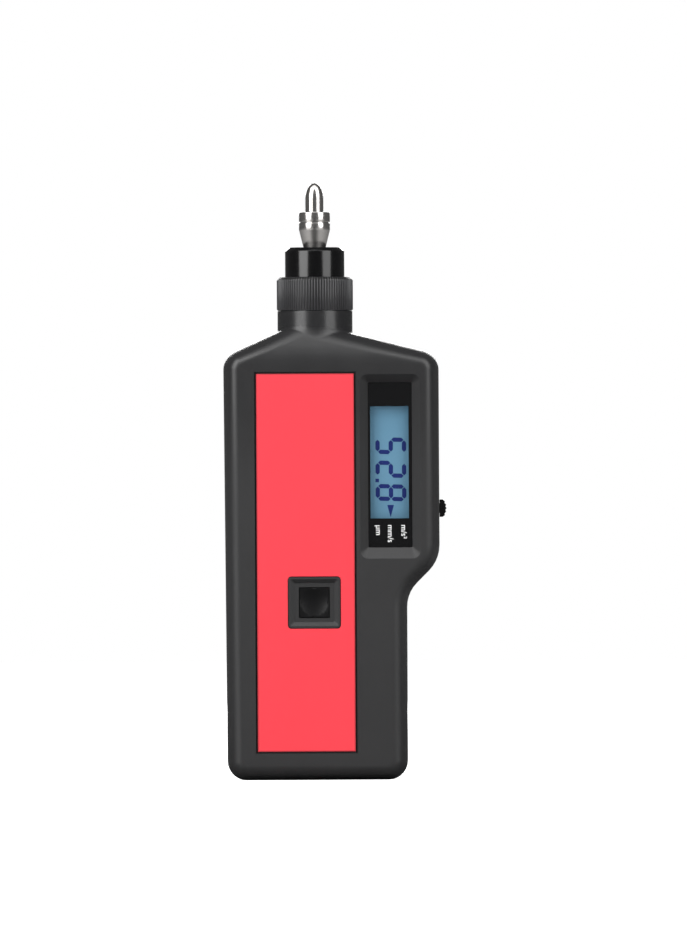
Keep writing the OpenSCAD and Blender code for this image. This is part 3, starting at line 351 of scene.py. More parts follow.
def board_mask():
    """Green solder mask with faint copper tracks below it."""
    f = Finish("board_green_mask")
    mask, mask_lit, copper = rgb(18, 92, 48), rgb(20, 98, 52), rgb(44, 128, 76)
    tracks = f.node("ShaderNodeTexBrick", {"offset": 0.5}, {
        "Vector": f.place(), "Scale": 220.0, "Mortar Size": 0.03,
        "Color1": rgba(mask), "Color2": rgba(mask_lit), "Mortar": rgba(copper)})
    return f.surface(tracks, roughness=0.35)


def make_finishes():
    """A finish for each slot of the record, and one with painted shade for the valleys between the knurl's
    ribs.
    """
    case_face = CASE_HIGH.z - 0.12 * MM
    return {
        "housing": housing_plastic(),
        "cover": moulded_plastic("cover_dark_grey", grown(GREY_SHELL, 0.95), roughness=0.42, grain=0.22),
        "label": red_film(),
        "lens": window_plastic(),
        "lcd": display_glass(),
        "backlight": moulded_plastic("diffuser_milky", rgb(225, 232, 228), roughness=0.5, grain=0.1),
        "frame_black": moulded_plastic("black_moulding", rgb(22, 22, 23), roughness=0.4, grain=0.2),
        "zebra": moulded_plastic("contact_strip_pink", rgb(190, 160, 168), roughness=0.6, grain=0.1),
        "board": board_mask(),
        "steel": turned_metal("plated_steel", rgb(196, 196, 200), roughness=0.28),
        "switch_black": moulded_plastic("switch_black", rgb(30, 30, 31), roughness=0.45, grain=0.2),
        "switch_metal": turned_metal("tinned_steel", rgb(180, 180, 184), roughness=0.4, lines=0.1),
        "chips": moulded_plastic("chip_resin", rgb(28, 28, 30), roughness=0.55, grain=0.3),
        "battery": moulded_plastic("battery_jacket", rgb(40, 52, 92), roughness=0.3, grain=0.05),
        "wire_red": moulded_plastic("wire_red", rgb(170, 30, 30), roughness=0.4, grain=0.1),
        "wire_white": moulded_plastic("wire_white", rgb(215, 215, 215), roughness=0.4, grain=0.1),
        "foam": moulded_plastic("foam_black", rgb(40, 40, 40), roughness=0.9, grain=0.6),
        "connector": moulded_plastic("natural_nylon", rgb(220, 214, 196), roughness=0.45, grain=0.1),
        "anodised_gloss": anodised("black_anodised_gloss", rgb(5, 5, 6), roughness=0.17, lines=0.05,
                                   matt_above=case_face),
        "anodised_knurl": anodised("black_anodised_knurl", rgb(45, 45, 47), roughness=0.3),
        # Painted shade: the ring's own anodised metal, made near black to stand for the shade between its
        # ribs.
        "valley_painted_shade": anodised("black_anodised_painted_shade", rgb(4, 4, 4), roughness=0.5),
        "ceramic": moulded_plastic("piezo_ceramic", rgb(200, 180, 130), roughness=0.5, grain=0.2),
        "tungsten": turned_metal("mass_metal", rgb(130, 130, 136), roughness=0.35),
        "seal": moulded_plastic("nitrile_black", rgb(24, 24, 24), roughness=0.5, grain=0.1),
        "probe_steel": turned_metal("probe_steel", rgb(206, 203, 200), roughness=0.2, lines=0.45),
        "key_black": moulded_plastic("key_black", rgb(11, 11, 12), roughness=0.36, grain=0.12, shine=0.25),
        "plunger": moulded_plastic("natural_acetal", rgb(214, 206, 178), roughness=0.4, grain=0.1),
    }


FINISHES = make_finishes()


def slot_of(node):
    return next(part["material_slot"] for part in frame["record"]["subparts"] if part["node"] == node)


def stand(name, data):
    """A new object at the origin, unturned and unscaled."""
    thing = bpy.data.objects.new(name, data)
    bpy.context.scene.collection.objects.link(thing)
    return thing


def put_in_scene(name, mesh, slot):
    piece = stand(name, mesh)
    if not mesh.materials:
        mesh.materials.append(FINISHES[slot])
    return piece


def smooth_by_angle(mesh, degrees):
    mesh.shade_smooth()
    mesh.set_sharp_from_angle(angle=math.radians(degrees))


def closed_mesh(work, name, sharp_from=None):
    """The worked shape as a mesh with its faces outwards, smooth below the given angle."""
    bmesh.ops.recalc_face_normals(work, faces=work.faces)
    mesh = bpy.data.meshes.new(name)
    work.to_mesh(mesh)
    work.free()
    if sharp_from is not None:
        smooth_by_angle(mesh, sharp_from)
    return mesh


def middle_of(values):
    return (min(values) + max(values)) / 2


def paint_carried_nodes():
    """The CAD nodes that stay get the finish of their slot."""
    for name, node in NODES.items():
        node.data.materials.clear()
        node.data.materials.append(FINISHES[slot_of(name)])


# Moulded and cut pieces, with the round of their edges in millimetres and its steps
EDGE_ROUNDS = {
    "front_shell": (0.18, 2),
    "rear_shell": (0.18, 2),
    "battery_cover": (0.2, 2),
    "front_label": (0.12, 2),
    "measure_key": (0.3, 3),
    "selector_cap": (0.12, 2),
}
EDGE_ANGLE = 30.0
MERGE_WITHIN = 0.002 * MM


def rounded_copy(node, round_mm, steps):
    """A copy of a node with its sharp edges rounded as a mould or a cutter leaves them."""
    mesh = NODES[node].data.copy()
    work = bmesh.new()
    work.from_mesh(mesh)
    bmesh.ops.remove_doubles(work, verts=work.verts, dist=MERGE_WITHIN)
    work.to_mesh(mesh)
    work.free()
    smooth_by_angle(mesh, EDGE_ANGLE)
    piece = put_in_scene(node + "_moulded", mesh, slot_of(node))
    bevel = piece.modifiers.new("edge_round", "BEVEL")
    bevel.width = round_mm * MM
    bevel.segments = steps
    bevel.limit_method = "ANGLE"
    bevel.angle_limit = math.radians(EDGE_ANGLE)
    bevel.harden_normals = True
    bevel.miter_outer = "MITER_ARC"
    bevel.use_clamp_overlap = True
    flat_faces = piece.modifiers.new("flat_faces_lead", "WEIGHTED_NORMAL")
    flat_faces.mode = "FACE_AREA"
    flat_faces.weight = 100
    flat_faces.keep_sharp = True
    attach(piece, NODES[node]["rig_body"])
    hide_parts(node)


def lathe(name, outline, slot, turns, finish=None):
    """A piece turned about the probe axis. outline is (radius, height) from one end to the other."""
    work = bmesh.new()
    rings = []
    for radius, height in outline:
        if radius == 0:
            rings.append([work.verts.new((0, 0, height))])
        else:
            rings.append([work.verts.new((radius * math.cos(a), radius * math.sin(a), height))
                          for a in (math.tau * i / turns for i in range(turns))])
    for low, high in zip(rings, rings[1:]):
        for i in range(turns):
            j = (i + 1) % turns
            corners = [low[i % len(low)], low[j % len(low)], high[j % len(high)], high[i % len(high)]]
            distinct = list(dict.fromkeys(corners))
            if len(distinct) > 2:
                work.faces.new(distinct)
    mesh = closed_mesh(work, name, sharp_from=28)
    mesh.materials.append(FINISHES[finish or slot])
    return put_in_scene(name, mesh, slot)


def arc(centre_r, centre_z, radius, start, end, steps):
    """Points of a round in a lathe outline, by angle from the radius direction, in degrees."""
    return [(centre_r + radius * math.cos(math.radians(a)), centre_z + radius * math.sin(math.radians(a)))
            for a in (start + (end - start) * i / steps for i in range(steps + 1))]


# What the turned pieces of the pickup share
CASE_R = 9.175 * MM
ADAPTER_R = 4.8 * MM
TIP_STUD_R, TIP_STUD_H = 2.0 * MM, 5.0 * MM
ADAPTER_STUD_R, ADAPTER_STUD_H = 2.5 * MM, 2.0 * MM
STUD_GAP = 0.05 * MM
TURNED_EASE = 0.15 * MM


def make_pickup_case():
    """Gloss black case with a crisp chamfer, eased by a hair on both of its edges."""
    foot, top = CASE_LOW.z, CASE_HIGH.z
    lower_r = 8.3 * MM
    chamber_r, chamber_top = 6.8 * MM, top - 3.6 * MM
    flange_foot_r, flange_r = 9.0 * MM, 9.8 * MM
    flange_low = SPIGOT_TOP + 0.9 * MM
    flange_top = flange_low + 1.1 * MM
    lip_r, lip_top = CASE_R - 0.3 * MM, RING_HIGH.z + 0.1 * MM
    chamfer, ease = 1.1 * MM, 0.12 * MM
    # Where a round of that radius meets the faces beside it, on a corner of 45 degrees
    drop = ease * 0.4
    outline = [
        (chamber_r, foot), (lower_r, foot), (lower_r, SPIGOT_TOP), (flange_foot_r, SPIGOT_TOP),
        (flange_foot_r, flange_low), (flange_r, flange_low), (flange_r, flange_top), (lip_r, flange_top),
        (lip_r, lip_top), (CASE_R, lip_top),
        *arc(CASE_R - ease, top - chamfer - drop, ease, 0, 45, 3),
        *arc(CASE_R - chamfer - drop, top - ease, ease, 45, 90, 3),
        (ADAPTER_STUD_R, top), (ADAPTER_STUD_R, top - ADAPTER_STUD_H), (0, top - ADAPTER_STUD_H),
        (0, chamber_top), (chamber_r, chamber_top), (chamber_r, foot)]
    case = lathe("pickup_case_turned", outline, "anodised_gloss", turns=192)
    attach(case, "pickup")
    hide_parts("pickup_case")


def make_adapter():
    """Steel adapter: cone, short band and an eased edge at its top."""
    foot_r, foot = 3.45 * MM, CASE_HIGH.z
    band, turn_in = foot + 5.4 * MM, 0.1 * MM
    bore_r = TIP_STUD_R + STUD_GAP
    bore_floor = ADAPTER_TOP - TIP_STUD_H - STUD_GAP
    outline = [
        (0, foot - ADAPTER_STUD_H), (ADAPTER_STUD_R, foot - ADAPTER_STUD_H), (ADAPTER_STUD_R, foot),
        (foot_r, foot), (ADAPTER_R - turn_in / 2, band - turn_in), (ADAPTER_R, band + turn_in),
        *arc(ADAPTER_R - TURNED_EASE, ADAPTER_TOP - TURNED_EASE, TURNED_EASE, 0, 90, 4),
        (bore_r, ADAPTER_TOP), (bore_r, bore_floor), (0, bore_floor)]
    adapter = lathe("adapter_turned", outline, "probe_steel", turns=128)
    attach(adapter, "pickup")
    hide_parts("tip_adapter")


def make_probe_tip():
    """Removable tip: collar with a groove below it, a straight rod and a rounded nose."""
    rod_r = 2.8 * MM
    groove_r = ADAPTER_R - 0.4 * MM
    foot = ADAPTER_TOP
    collar = foot + 0.3 * MM
    rod = collar + 3.0 * MM
    nose = rod + 4.2 * MM
    nose_h = TIP_TOP - nose
    nose_steps = 22
    outline = [
        (0, foot - TIP_STUD_H), (TIP_STUD_R, foot - TIP_STUD_H), (TIP_STUD_R, foot), (groove_r, foot),
        (groove_r, collar),
        *arc(ADAPTER_R - TURNED_EASE, collar + TURNED_EASE, TURNED_EASE, -90, 0, 4),
        *arc(ADAPTER_R - TURNED_EASE, rod - TURNED_EASE, TURNED_EASE, 0, 90, 4),
        (rod_r + TURNED_EASE, rod), (rod_r, rod + TURNED_EASE), (rod_r, nose),
        *((rod_r * math.cos(a), nose + nose_h * math.sin(a))
          for a in (math.pi / 2 * i / nose_steps for i in range(1, nose_steps))),
        (0, TIP_TOP)]
    tip = lathe("probe_tip_turned", outline, "probe_steel", turns=128)
    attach(tip, "probe_tip")
    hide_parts("probe_tip")


# The fillet at the neck's root: how far it runs down the shoulders, and how much further at the sides
# and in front
ROOT_RUN = 0.5 * MM
ROOT_RUN_SIDES = 0.65 * MM
ROOT_RUN_FRONT = 1.4 * MM
ROOT_TURNS = 180
ROOT_PARTS = 8
ROOT_SINK = 0.4 * MM
ROOT_PROUD = 0.01 * MM

# The shells are felt from this height downwards, on the plain neck at first
FEEL_FROM = 142.0 * MM
FEEL_STEP = 0.05 * MM
FEEL_STEPS = 170
FEEL_OUTSIDE = 60.0 * MM
WIDENING = 0.03 * MM


def shell_surfaces():
    """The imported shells, ready to be felt with rays."""
    surfaces = []
    for shell in ("front_shell", "rear_shell"):
        work = bmesh.new()
        work.from_mesh(NODES[shell].data)
        surfaces.append(BVHTree.FromBMesh(work))
        work.free()
    return surfaces


def shell_profile(surfaces, turn, heights):
    """How far out the shells reach at each height, in the half-plane that stands at the given turn."""
    outwards = Vector((math.cos(turn), math.sin(turn), 0))
    reach = []
    for height in heights:
        origin = outwards * FEEL_OUTSIDE + Vector((0, 0, height))
        hits = [surface.ray_cast(origin, -outwards)[3] for surface in surfaces]
        reach.append(FEEL_OUTSIDE - min(hit for hit in hits if hit is not None))
    return reach


def root_run(turn):
    """How far the fillet runs at the given turn: furthest in front, a little further at the sides."""
    frontness = max(0.0, -math.sin(turn)) ** 8
    sideness = abs(math.cos(turn)) ** 6
    return ROOT_RUN + ROOT_RUN_SIDES * sideness + ROOT_RUN_FRONT * frontness


def feel_root(surfaces, turn):
    """The neck's radius, the height at which it widens, and the radius and height of the fillet's end."""
    heights = [FEEL_FROM - FEEL_STEP * i for i in range(FEEL_STEPS)]
    reach = shell_profile(surfaces, turn, heights)
    first = next(k for k, radius in enumerate(reach) if radius > reach[0] + WIDENING)
    run = root_run(turn)
    gone = 0.0
    last = first
    while gone < run and last + 1 < len(reach):
        gone += math.hypot(reach[last + 1] - reach[last], FEEL_STEP)
        last += 1
    return reach[0], heights[first], reach[last], heights[last]


def averaged(values, spread=3):
    """Each value of a closed row as the mean of itself and its neighbours."""
    count = len(values)
    width = 2 * spread + 1
    return [sum(values[(i + k) % count] for k in range(-spread, spread + 1)) / width for i in range(count)]


def root_section(neck_r, root, run, end_r, end_z):
    """The fillet cut by a half-plane: a curve tangent to the neck, and two corners sunk in the shells."""
    controls = ((neck_r, root + run), (neck_r, root), (end_r, end_z))
    section = []
    for part in range(ROOT_PARTS + 1):
        s = part / ROOT_PARTS
        weights = ((1 - s) ** 2, 2 * s * (1 - s), s * s)
        r, z = (sum(weight * point[axis] for weight, point in zip(weights, controls)) for axis in (0, 1))
        section.append((r + ROOT_PROUD, z))
    section.append((end_r - ROOT_SINK, end_z - ROOT_SINK))
    section.append((neck_r - ROOT_SINK, root + run))
    return section


def make_neck_root():
    """Soft fillet where the neck grows out of the shoulders; it follows the shells all round."""
    surfaces = shell_surfaces()
    turns = [math.tau * (i + 0.5) / ROOT_TURNS for i in range(ROOT_TURNS)]
    necks, *felt = zip(*(feel_root(surfaces, turn) for turn in turns))
    roots, ends_r, ends_z = (averaged(values) for values in felt)
    work = bmesh.new()
    sections = []
    for turn, neck_r, root, end_r, end_z in zip(turns, necks, roots, ends_r, ends_z):
        section = root_section(neck_r, root, root_run(turn), end_r, end_z)
        sections.append([work.verts.new((r * math.cos(turn), r * math.sin(turn), z)) for r, z in section])
    for section, following in zip(sections, sections[1:] + sections[:1]):
        for k in range(len(section)):
            m = (k + 1) % len(section)
            work.faces.new((section[k], following[k], following[m], section[m]))
    mesh = closed_mesh(work, "neck_root_fillet", sharp_from=40)
    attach(put_in_scene("neck_root_fillet", mesh, slot_of("front_shell")), "root")


class NodeTree:
    """A Geometry Nodes tree with named inputs."""

    def __init__(self, name, sizes):
        self.group = bpy.data.node_groups.new(name, "GeometryNodeTree")
        self.group.interface.new_socket("Geometry", in_out="INPUT", socket_type="NodeSocketGeometry")
        for label, value in sizes.items():
            kind = {int: "NodeSocketInt", float: "NodeSocketFloat"}.get(type(value), "NodeSocketObject")
            self.group.interface.new_socket(label, in_out="INPUT", socket_type=kind)
        self.group.interface.new_socket("Geometry", in_out="OUTPUT", socket_type="NodeSocketGeometry")
        self.sizes = sizes
        self.inputs = self.node("NodeGroupInput")
        self.outputs = self.node("NodeGroupOutput")

    def node(self, kind, settings=None, inputs=None):
        made = self.group.nodes.new(kind)
        for name, value in (settings or {}).items():
            setattr(made, name, value)
        for name, value in (inputs or {}).items():
            if isinstance(value, bpy.types.NodeSocket):
                self.group.links.new(value, made.inputs[name])
            else:
                made.inputs[name].default_value = value
        return made

    def size(self, label):
        return self.inputs.outputs[label]

    def object_shape(self, label):
        """The shape of the object that the named input holds."""
        source = self.node("GeometryNodeObjectInfo", inputs={"Object": self.size(label)})
        return source.outputs["Geometry"]

    def finish(self, geometry, material):
        real = self.node("GeometryNodeRealizeInstances", inputs={"Geometry": geometry})
        painted = self.node("GeometryNodeSetMaterial", inputs={"Geometry": real.outputs[0],
                                                               "Material": material})
        self.group.links.new(painted.outputs[0], self.outputs.inputs[0])

    def grow(self, name, slot):
        """Runs the tree and returns its result as a plain piece."""
        carrier = stand(name + "_carrier", bpy.data.meshes.new(name + "_seed"))
        modifier = carrier.modifiers.new("grow", "NODES")
        modifier.node_group = self.group
        for item in self.group.interface.items_tree:
            if item.item_type == "SOCKET" and item.in_out == "INPUT" and item.name in self.sizes:
                modifier[item.identifier] = self.sizes[item.name]
        evaluated = carrier.evaluated_get(bpy.context.evaluated_depsgraph_get())
        mesh = bpy.data.meshes.new_from_object(evaluated)
        mesh.name = name
        bpy.data.objects.remove(carrier)
        return put_in_scene(name, mesh, slot)


# The clamp ring: its ribs stand on a core that is turned down by their height
RIBS = 84
RIB_H = 0.34 * MM
RIB_ROOT = 0.06 * MM
RIB_WIDTH_SHARE = 0.62
RING_CHAMFER = 1.0 * MM
RING_FOOT_CHAMFER = 0.4 * MM
RING_CREST_R = RING_HIGH.x
RING_BASE_R = RING_CREST_R - RIB_H


def knurl_rib():
    """One rib of the knurl, standing on the X axis: a rounded ridge whose ends follow the chamfers."""
    base_r, shoulder_r = RING_BASE_R - RIB_ROOT, RING_CREST_R - 0.10 * MM
    half_w = math.pi * RING_CREST_R / RIBS * RIB_WIDTH_SHARE
    shoulder_share, crest_share = 0.62, 0.22
    shoulder_w, crest_w = half_w * shoulder_share, half_w * crest_share
    height = RING_HIGH.z - RING_LOW.z
    section = [(base_r, -half_w), (shoulder_r, -shoulder_w), (RING_CREST_R, -crest_w),
               (RING_CREST_R, crest_w), (shoulder_r, shoulder_w), (base_r, half_w)]
    levels = [(0.0, RING_FOOT_CHAMFER), (RING_FOOT_CHAMFER, 0.0), (height - RING_CHAMFER, 0.0),
              (height, RING_CHAMFER)]
    work = bmesh.new()
    rows = [[work.verts.new((min(r, RING_CREST_R - cut), y, z)) for r, y in section] for z, cut in levels]
    for low, high in zip(rows, rows[1:]):
        for i in range(len(section) - 1):
            work.faces.new((low[i], low[i + 1], high[i + 1], high[i]))
    work.faces.new(rows[0][::-1])
    work.faces.new(rows[-1])
    work.faces.new([row[0] for row in rows] + [row[-1] for row in reversed(rows)])
    return stand("knurl_rib", closed_mesh(work, "knurl_rib", sharp_from=50))


def make_ring_core():
    """The ring below its ribs, with the lip that reaches over the flange of the case."""
    low, high = RING_LOW.z, RING_HIGH.z
    bore_r, lip_r = 10.05 * MM, CASE_R + 0.1 * MM
    lip_z = high - 2.0 * MM
    ease = 0.1 * MM
    face_r = RING_CREST_R - RING_CHAMFER
    outline = [
        (bore_r, low), (RING_BASE_R - ease, low), (RING_BASE_R, low + ease),
        (RING_BASE_R, high - RING_CHAMFER + RIB_H), (face_r + ease * 0.3, high - ease * 0.4),
        (face_r - ease, high), (lip_r + ease, high), (lip_r, high - ease), (lip_r, lip_z),
        (bore_r, lip_z), (bore_r, low)]
    # The core shows between the ribs; its near-black finish is painted shade.
    core = lathe("clamp_ring_core", outline, "anodised_knurl", turns=168, finish="valley_painted_shade")
    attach(core, "clamp_ring")


def make_ring_knurl():
    """The rib set on a circle of radius 1, turned outwards and moved back to the axis."""
    rib = knurl_rib()
    tree = NodeTree("ring_of_ribs", {"Ribs": RIBS, "Height": float(RING_LOW.z), "Rib": rib})
    ring = tree.node("GeometryNodeMeshCircle", inputs={"Vertices": tree.size("Ribs"), "Radius": 1.0})
    spot = tree.node("GeometryNodeInputPosition").outputs[0]
    aim = tree.node("FunctionNodeAlignRotationToVector", {"axis": "X"}, {"Vector": spot})
    placed = tree.node("GeometryNodeInstanceOnPoints", inputs={
        "Points": ring.outputs[0], "Instance": tree.object_shape("Rib"), "Rotation": aim.outputs[0]})
    lift = tree.node("ShaderNodeCombineXYZ", inputs={2: tree.size("Height")})
    back = tree.node("ShaderNodeVectorMath", {"operation": "SUBTRACT"}, {0: lift.outputs[0], 1: spot})
    moved = tree.node("GeometryNodeTranslateInstances", inputs={
        "Instances": placed.outputs[0], "Translation": back.outputs[0], "Local Space": False})
    tree.finish(moved.outputs[0], FINISHES["anodised_knurl"])
    knurl = tree.grow("clamp_ring_knurl", "anodised_knurl")
    bpy.data.objects.remove(rib)
    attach(knurl, "clamp_ring")
    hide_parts("clamp_ring")


SCREW_HEAD_R = 2.2 * MM
SCREW_APART = 5.0 * MM


def turn_screw(work):
    """The outside of one screw, along Y, from its point to the open rim of its head."""
    tip, crown = SCREWS_LOW.y, SCREWS_HIGH.y
    shank_r, point_r = 1.2 * MM, 0.72 * MM
    head_h, dome_h, brow_h = 1.9 * MM, 0.6 * MM, 0.2 * MM
    brow_share, crown_share = 0.86, 0.6
    outline = [(point_r, tip), (shank_r, tip + shank_r), (shank_r, crown - head_h),
               (SCREW_HEAD_R, crown - head_h), (SCREW_HEAD_R, crown - dome_h),
               (SCREW_HEAD_R * brow_share, crown - brow_h), (SCREW_HEAD_R * crown_share, crown)]
    steps = 48
    rings = [[work.verts.new((r * math.cos(a), y, r * math.sin(a)))
              for a in (math.tau * i / steps for i in range(steps))] for r, y in outline]
    for near, far in zip(rings, rings[1:]):
        for i in range(steps):
            j = (i + 1) % steps
            work.faces.new((near[i], near[j], far[j], far[i]))
    work.faces.new(rings[0])


def cut_cross(work):
    """The cross recess: a plus-shaped pit that narrows towards its floor."""
    arm_share, slot_share, floor_share = 0.52, 0.15, 0.6
    arm, half_slot = SCREW_HEAD_R * arm_share, SCREW_HEAD_R * slot_share
    depth = 1.0 * MM
    crown = SCREWS_HIGH.y
    quarter = [(arm, -half_slot), (arm, half_slot), (half_slot, half_slot)]
    turned = (((1, 0), (0, 1)), ((0, -1), (1, 0)), ((-1, 0), (0, -1)), ((0, 1), (-1, 0)))
    plus = [(x * a + z * b, x * c + z * d) for (a, b), (c, d) in turned for x, z in quarter]
    rim = [work.verts.new((x, crown, z)) for x, z in plus]
    floor = [work.verts.new((x * floor_share, crown - depth, z * floor_share)) for x, z in plus]
    for i in range(len(plus)):
        j = (i + 1) % len(plus)
        work.faces.new((rim[i], rim[j], floor[j], floor[i]))
    work.faces.new(floor)


def screw_places():
    """Centre of each separate screw of the CAD node, in the front view."""
    screws = []
    for vertex in NODES["case_screws"].data.vertices:
        place = vertex.co.copy()
        for screw in screws:
            if abs(screw[0].x - place.x) < SCREW_APART and abs(screw[0].z - place.z) < SCREW_APART:
                screw.append(place)
                break
        else:
            screws.append([place])
    return [(middle_of([p.x for p in screw]), 0, middle_of([p.z for p in screw])) for screw in screws]


def make_case_screws():
    """Cross-head screws down in the rear shell."""
    work = bmesh.new()
    turn_screw(work)
    cut_cross(work)
    open_edges = [edge for edge in work.edges if len(edge.link_faces) == 1]
    bmesh.ops.triangle_fill(work, edges=open_edges, use_beauty=True)
    screw = stand("case_screw", closed_mesh(work, "case_screw", sharp_from=35))
    places = bpy.data.meshes.new("screw_places")
    places.from_pydata(screw_places(), [], [])
    spots = stand("screw_places", places)
    tree = NodeTree("screws_in_corners", {"Screw": screw, "Places": spots})
    placed = tree.node("GeometryNodeInstanceOnPoints", inputs={
        "Points": tree.object_shape("Places"), "Instance": tree.object_shape("Screw")})
    tree.finish(placed.outputs[0], FINISHES["steel"])
    screws = tree.grow("case_screws_crosshead", "steel")
    bpy.data.objects.remove(screw)
    bpy.data.objects.remove(spots)
    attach(screws, "root")
    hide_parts("case_screws")


# Display figures: they read downwards, so a figure's width runs along -Z and its height along X
FIGURE_LEFT = 18.5 * MM
FIGURE_H = 9.5 * MM
FIGURE_W = 5.2 * MM
FIGURE_PITCH = 7.24 * MM
FIGURE_TOP = 106.0 * MM
SEGMENT_T = 1.32 * MM
SEGMENT_GAP = 0.14 * MM
SLANT = 0.03
SEGMENTS_OF = {"5": "afgcd", "2": "abged", "8": "abcdefg"}


def segment_outline(across, up, length, upright):
    """Six-sided bar of the display, centred at (across, up) in the figure's own width and height."""
    h, t = length / 2 - SEGMENT_GAP, SEGMENT_T / 2
    bar = [(-h, 0), (-h + t, t), (h - t, t), (h, 0), (h - t, -t), (-h + t, -t)]
    return [(across + (y if upright else x), up + (x if upright else y)) for x, y in bar]


def figure_outlines(figure, top_z):
    w, h = FIGURE_W - SEGMENT_T, FIGURE_H - SEGMENT_T
    upper, lower = h * 3 / 4, h / 4
    bars = {"a": (w / 2, h, w, False), "g": (w / 2, h / 2, w, False), "d": (w / 2, 0, w, False),
            "b": (w, upper, h / 2, True), "c": (w, lower, h / 2, True),
            "f": (0, upper, h / 2, True), "e": (0, lower, h / 2, True)}
    left, top = FIGURE_LEFT + SEGMENT_T / 2, top_z - SEGMENT_T / 2
    return [[(left + v, top - u - SLANT * v) for u, v in segment_outline(*bars[key])]
            for key in SEGMENTS_OF[figure]]


def square_outline(centre_x, centre_z, half):
    return [(centre_x - half, centre_z - half), (centre_x + half, centre_z - half),
            (centre_x + half, centre_z + half), (centre_x - half, centre_z + half)]


def ink_piece(name, outlines, y_front, thickness, ink, slot):
    """Thin inked shapes in front view, each an extruded outline."""
    work = bmesh.new()
    for outline in outlines:
        front = [work.verts.new((x, y_front, z)) for x, z in outline]
        back = [work.verts.new((x, y_front + thickness, z)) for x, z in outline]
        work.faces.new(front)
        work.faces.new(back[::-1])
        for i in range(len(outline)):
            j = (i + 1) % len(outline)
            work.faces.new((front[i], back[i], back[j], front[j]))
    mesh = closed_mesh(work, name)
    mesh.materials.append(ink)
    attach(put_in_scene(name, mesh, slot), "root")


def make_display_figures():
    """The reading 52.8 with its point and the arrow that marks the unit."""
    ink = flat_ink("display_navy", rgb(20, 34, 96), glow=0.05)
    shapes = []
    for place, figure in enumerate("528"):
        shapes += figure_outlines(figure, FIGURE_TOP - place * FIGURE_PITCH)
    point_z = FIGURE_TOP - 2 * FIGURE_PITCH + 1.05 * MM
    shapes.append(square_outline(FIGURE_LEFT + 0.5 * MM, point_z, 0.55 * MM))
    arrow_x, arrow_top, arrow_tip, arrow_w = 23.1 * MM, 85.0 * MM, 81.2 * MM, 1.05 * MM
    shapes.append([(arrow_x - arrow_w, arrow_top), (arrow_x, arrow_tip), (arrow_x + arrow_w, arrow_top)])
    ink_piece("display_figures", shapes, PANEL_FRONT - 0.04 * MM, 0.03 * MM, ink, "lcd")


# Unit marks below the display: the words, and the middle of each line from the axis
UNIT_MARKS = {
    "unit_displacement": ("µm", 19.3 * MM),
    "unit_velocity": ("mm/s", 22.95 * MM),
    "unit_acceleration": ("m/s²", 27.1 * MM),
}
MARK_TOP = 78.9 * MM
MARK_SIZE = 2.5 * MM
MARK_DEPTH = 0.01 * MM
MARK_PROUD = 0.012 * MM


def word_mesh(name, words):
    """The words as a mesh that lies flat, from the origin to the right."""
    curve = bpy.data.curves.new(name, "FONT")
    curve.body = words
    curve.size = MARK_SIZE
    curve.extrude = MARK_DEPTH
    curve.align_x = "LEFT"
    curve.align_y = "CENTER"
    lettered = stand(name + "_words", curve)
    evaluated = lettered.evaluated_get(bpy.context.evaluated_depsgraph_get())
    mesh = bpy.data.meshes.new_from_object(evaluated)
    bpy.data.objects.remove(lettered)
    return mesh


def make_unit_marks():
    """White unit marks printed below the display, turned to read downwards."""
    ink = flat_ink("mark_white", rgb(225, 225, 225))
    upright = Matrix.Rotation(math.radians(90), 4, "X")
    downwards = Matrix.Rotation(math.radians(90), 4, "Y")
    for name, (words, centre_x) in UNIT_MARKS.items():
        mesh = word_mesh(name, words)
        place = Matrix.Translation((centre_x, LENS_FRONT - MARK_PROUD, MARK_TOP))
        mesh.transform(place @ downwards @ upright)
        mesh.materials.clear()
        mesh.materials.append(ink)
        mesh.name = name
        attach(put_in_scene(name, mesh, "lens"), "root")


# The studio. Metal mirrors the floor with a painted shadow in front of the object and painted light to
# both sides
FLOOR_HALF = 3.0
FLOOR_PALE = 0.82
FLOOR_GLOW = 0.93
FLOOR_PAINTED_SHADOW_MIDDLE, FLOOR_PAINTED_LIGHT_SIDES = 0.08, 0.34
MIRRORED_FROM, MIRRORED_TO = 0.06, 0.28
ROOM_SEEN, ROOM_LIGHT, ROOM_MIRRORED = 1.0, 0.22, 0.12

# The lamps: azimuth and elevation in degrees, distance, width and height in metres, and power in watts.
# Azimuth 0 is in front, 90 to the right. The front pair's lower edges stand near half the housing's height
SOFT_BOXES = {
    "soft_box_left": (-45, 30, 1.1, 0.75, 1.3, 15.5),
    "soft_box_right": (48, 30, 1.1, 0.70, 1.3, 10),
    "soft_box_top": (0, 68, 1.2, 0.9, 0.7, 4),
    "soft_box_behind": (180, 14, 1.6, 0.9, 0.5, 13),
}
LIGHT_AIM = Vector((0.004, 0, 0.095))


def floor_finish():
    """Pale floor: plain white to the camera; metal mirrors it with a painted shadow in front, painted
    light aside.
    """
    material = bpy.data.materials.new("pale_floor")
    f = Shading(material)
    f.tree.nodes.clear()
    pale = f.node("ShaderNodeBsdfDiffuse", inputs={"Color": grey(FLOOR_PALE)})
    glow = f.node("ShaderNodeEmission", inputs={"Strength": FLOOR_GLOW})
    seen = f.node("ShaderNodeAddShader", inputs={0: pale, 1: glow})
    # Painted light, seen only in reflections: the floor's tone is dark in front and pale to both sides.
    painted_light_share = f.ease(abs(f.axes()[0]), MIRRORED_FROM, MIRRORED_TO, 0.0, 1.0)
    tone = f.mix(painted_light_share, grey(FLOOR_PAINTED_SHADOW_MIDDLE), grey(FLOOR_PAINTED_LIGHT_SIDES))
    mirrored = f.node("ShaderNodeBsdfDiffuse", inputs={"Color": tone})
    lit = f.choose("Is Glossy Ray", pale, mirrored)
    f.node("ShaderNodeOutputMaterial", inputs={"Surface": f.choose("Is Camera Ray", lit, seen)})
    return material


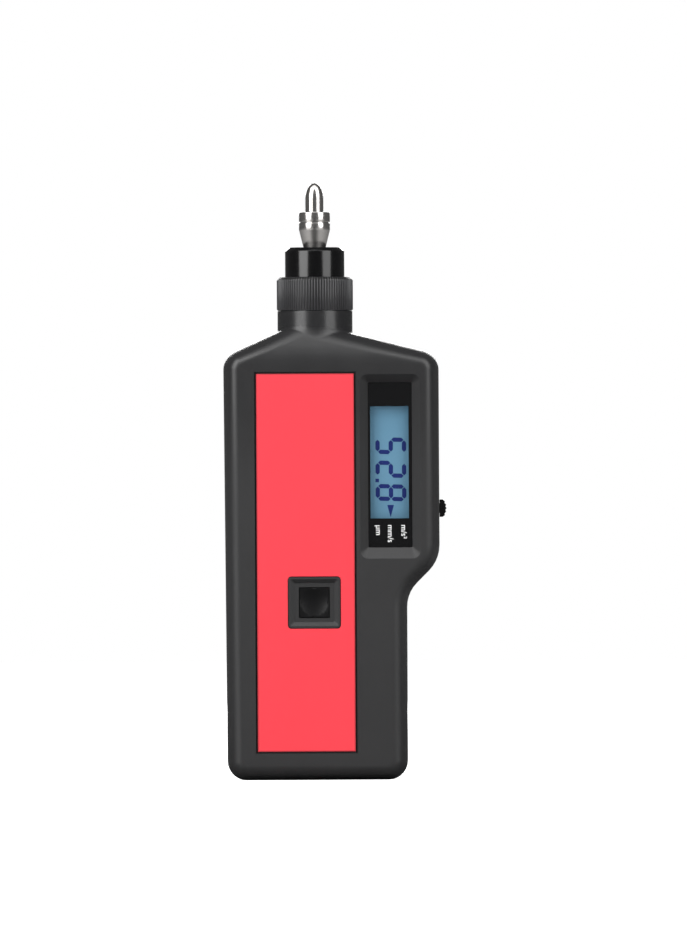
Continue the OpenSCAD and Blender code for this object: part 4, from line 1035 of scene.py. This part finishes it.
def make_floor():
    mesh = bpy.data.meshes.new("floor")
    corners = [(x, z, 0) for x, z in square_outline(0, 0, FLOOR_HALF)]
    mesh.from_pydata(corners, [], [range(len(corners))])
    mesh.materials.append(floor_finish())
    stand("floor", mesh)


def make_room():
    """The studio round the object: white to the camera, dim as light and darker in mirrors."""
    world = bpy.data.worlds.new("studio")
    bpy.context.scene.world = world
    f = Shading(world)
    f.tree.nodes.clear()
    white, dim, dark = (f.node("ShaderNodeBackground", inputs={"Color": grey(value)})
                        for value in (ROOM_SEEN, ROOM_LIGHT, ROOM_MIRRORED))
    lit = f.choose("Is Transmission Ray", f.choose("Is Glossy Ray", dim, dark), white)
    f.node("ShaderNodeOutputWorld", inputs={"Surface": f.choose("Is Camera Ray", lit, white)})


def soft_box(name, azimuth, elevation, distance, width, height, power):
    """A large lamp aimed at the middle of the object."""
    data = bpy.data.lights.new(name, "AREA")
    data.shape = "RECTANGLE"
    data.size = width
    data.size_y = height
    data.energy = power
    lamp = stand(name, data)
    round_to, up = math.radians(azimuth), math.radians(elevation)
    way = Vector((math.sin(round_to) * math.cos(up), -math.cos(round_to) * math.cos(up), math.sin(up)))
    lamp.location = LIGHT_AIM + way * distance
    lamp.rotation_mode = "QUATERNION"
    lamp.rotation_quaternion = way.to_track_quat("Z", "Y")


def make_camera():
    data = bpy.data.cameras.new("photo_camera")
    data.lens = LENS
    data.sensor_width = SENSOR
    data.dof.use_dof = False
    camera = stand("photo_camera", data)
    distance = PHOTO_H * PIXEL * LENS / SENSOR
    camera.location = (((PHOTO_W - 1) / 2 - AXIS_COLUMN) * PIXEL, -distance,
                       (BASE_ROW - PHOTO_H / 2) * PIXEL)
    camera.rotation_euler = (math.radians(90), 0, 0)
    camera.rotation_euler.rotate_axis("Z", -LEAN)
    bpy.context.scene.camera = camera


make_camera()
paint_carried_nodes()
for node, (round_mm, steps) in EDGE_ROUNDS.items():
    rounded_copy(node, round_mm, steps)
make_neck_root()
make_pickup_case()
make_adapter()
make_probe_tip()
make_ring_core()
make_ring_knurl()
make_case_screws()
make_display_figures()
make_unit_marks()
make_floor()
make_room()
for name, setting in SOFT_BOXES.items():
    soft_box(name, *setting)
bpy.context.scene.view_settings.view_transform = "Standard"
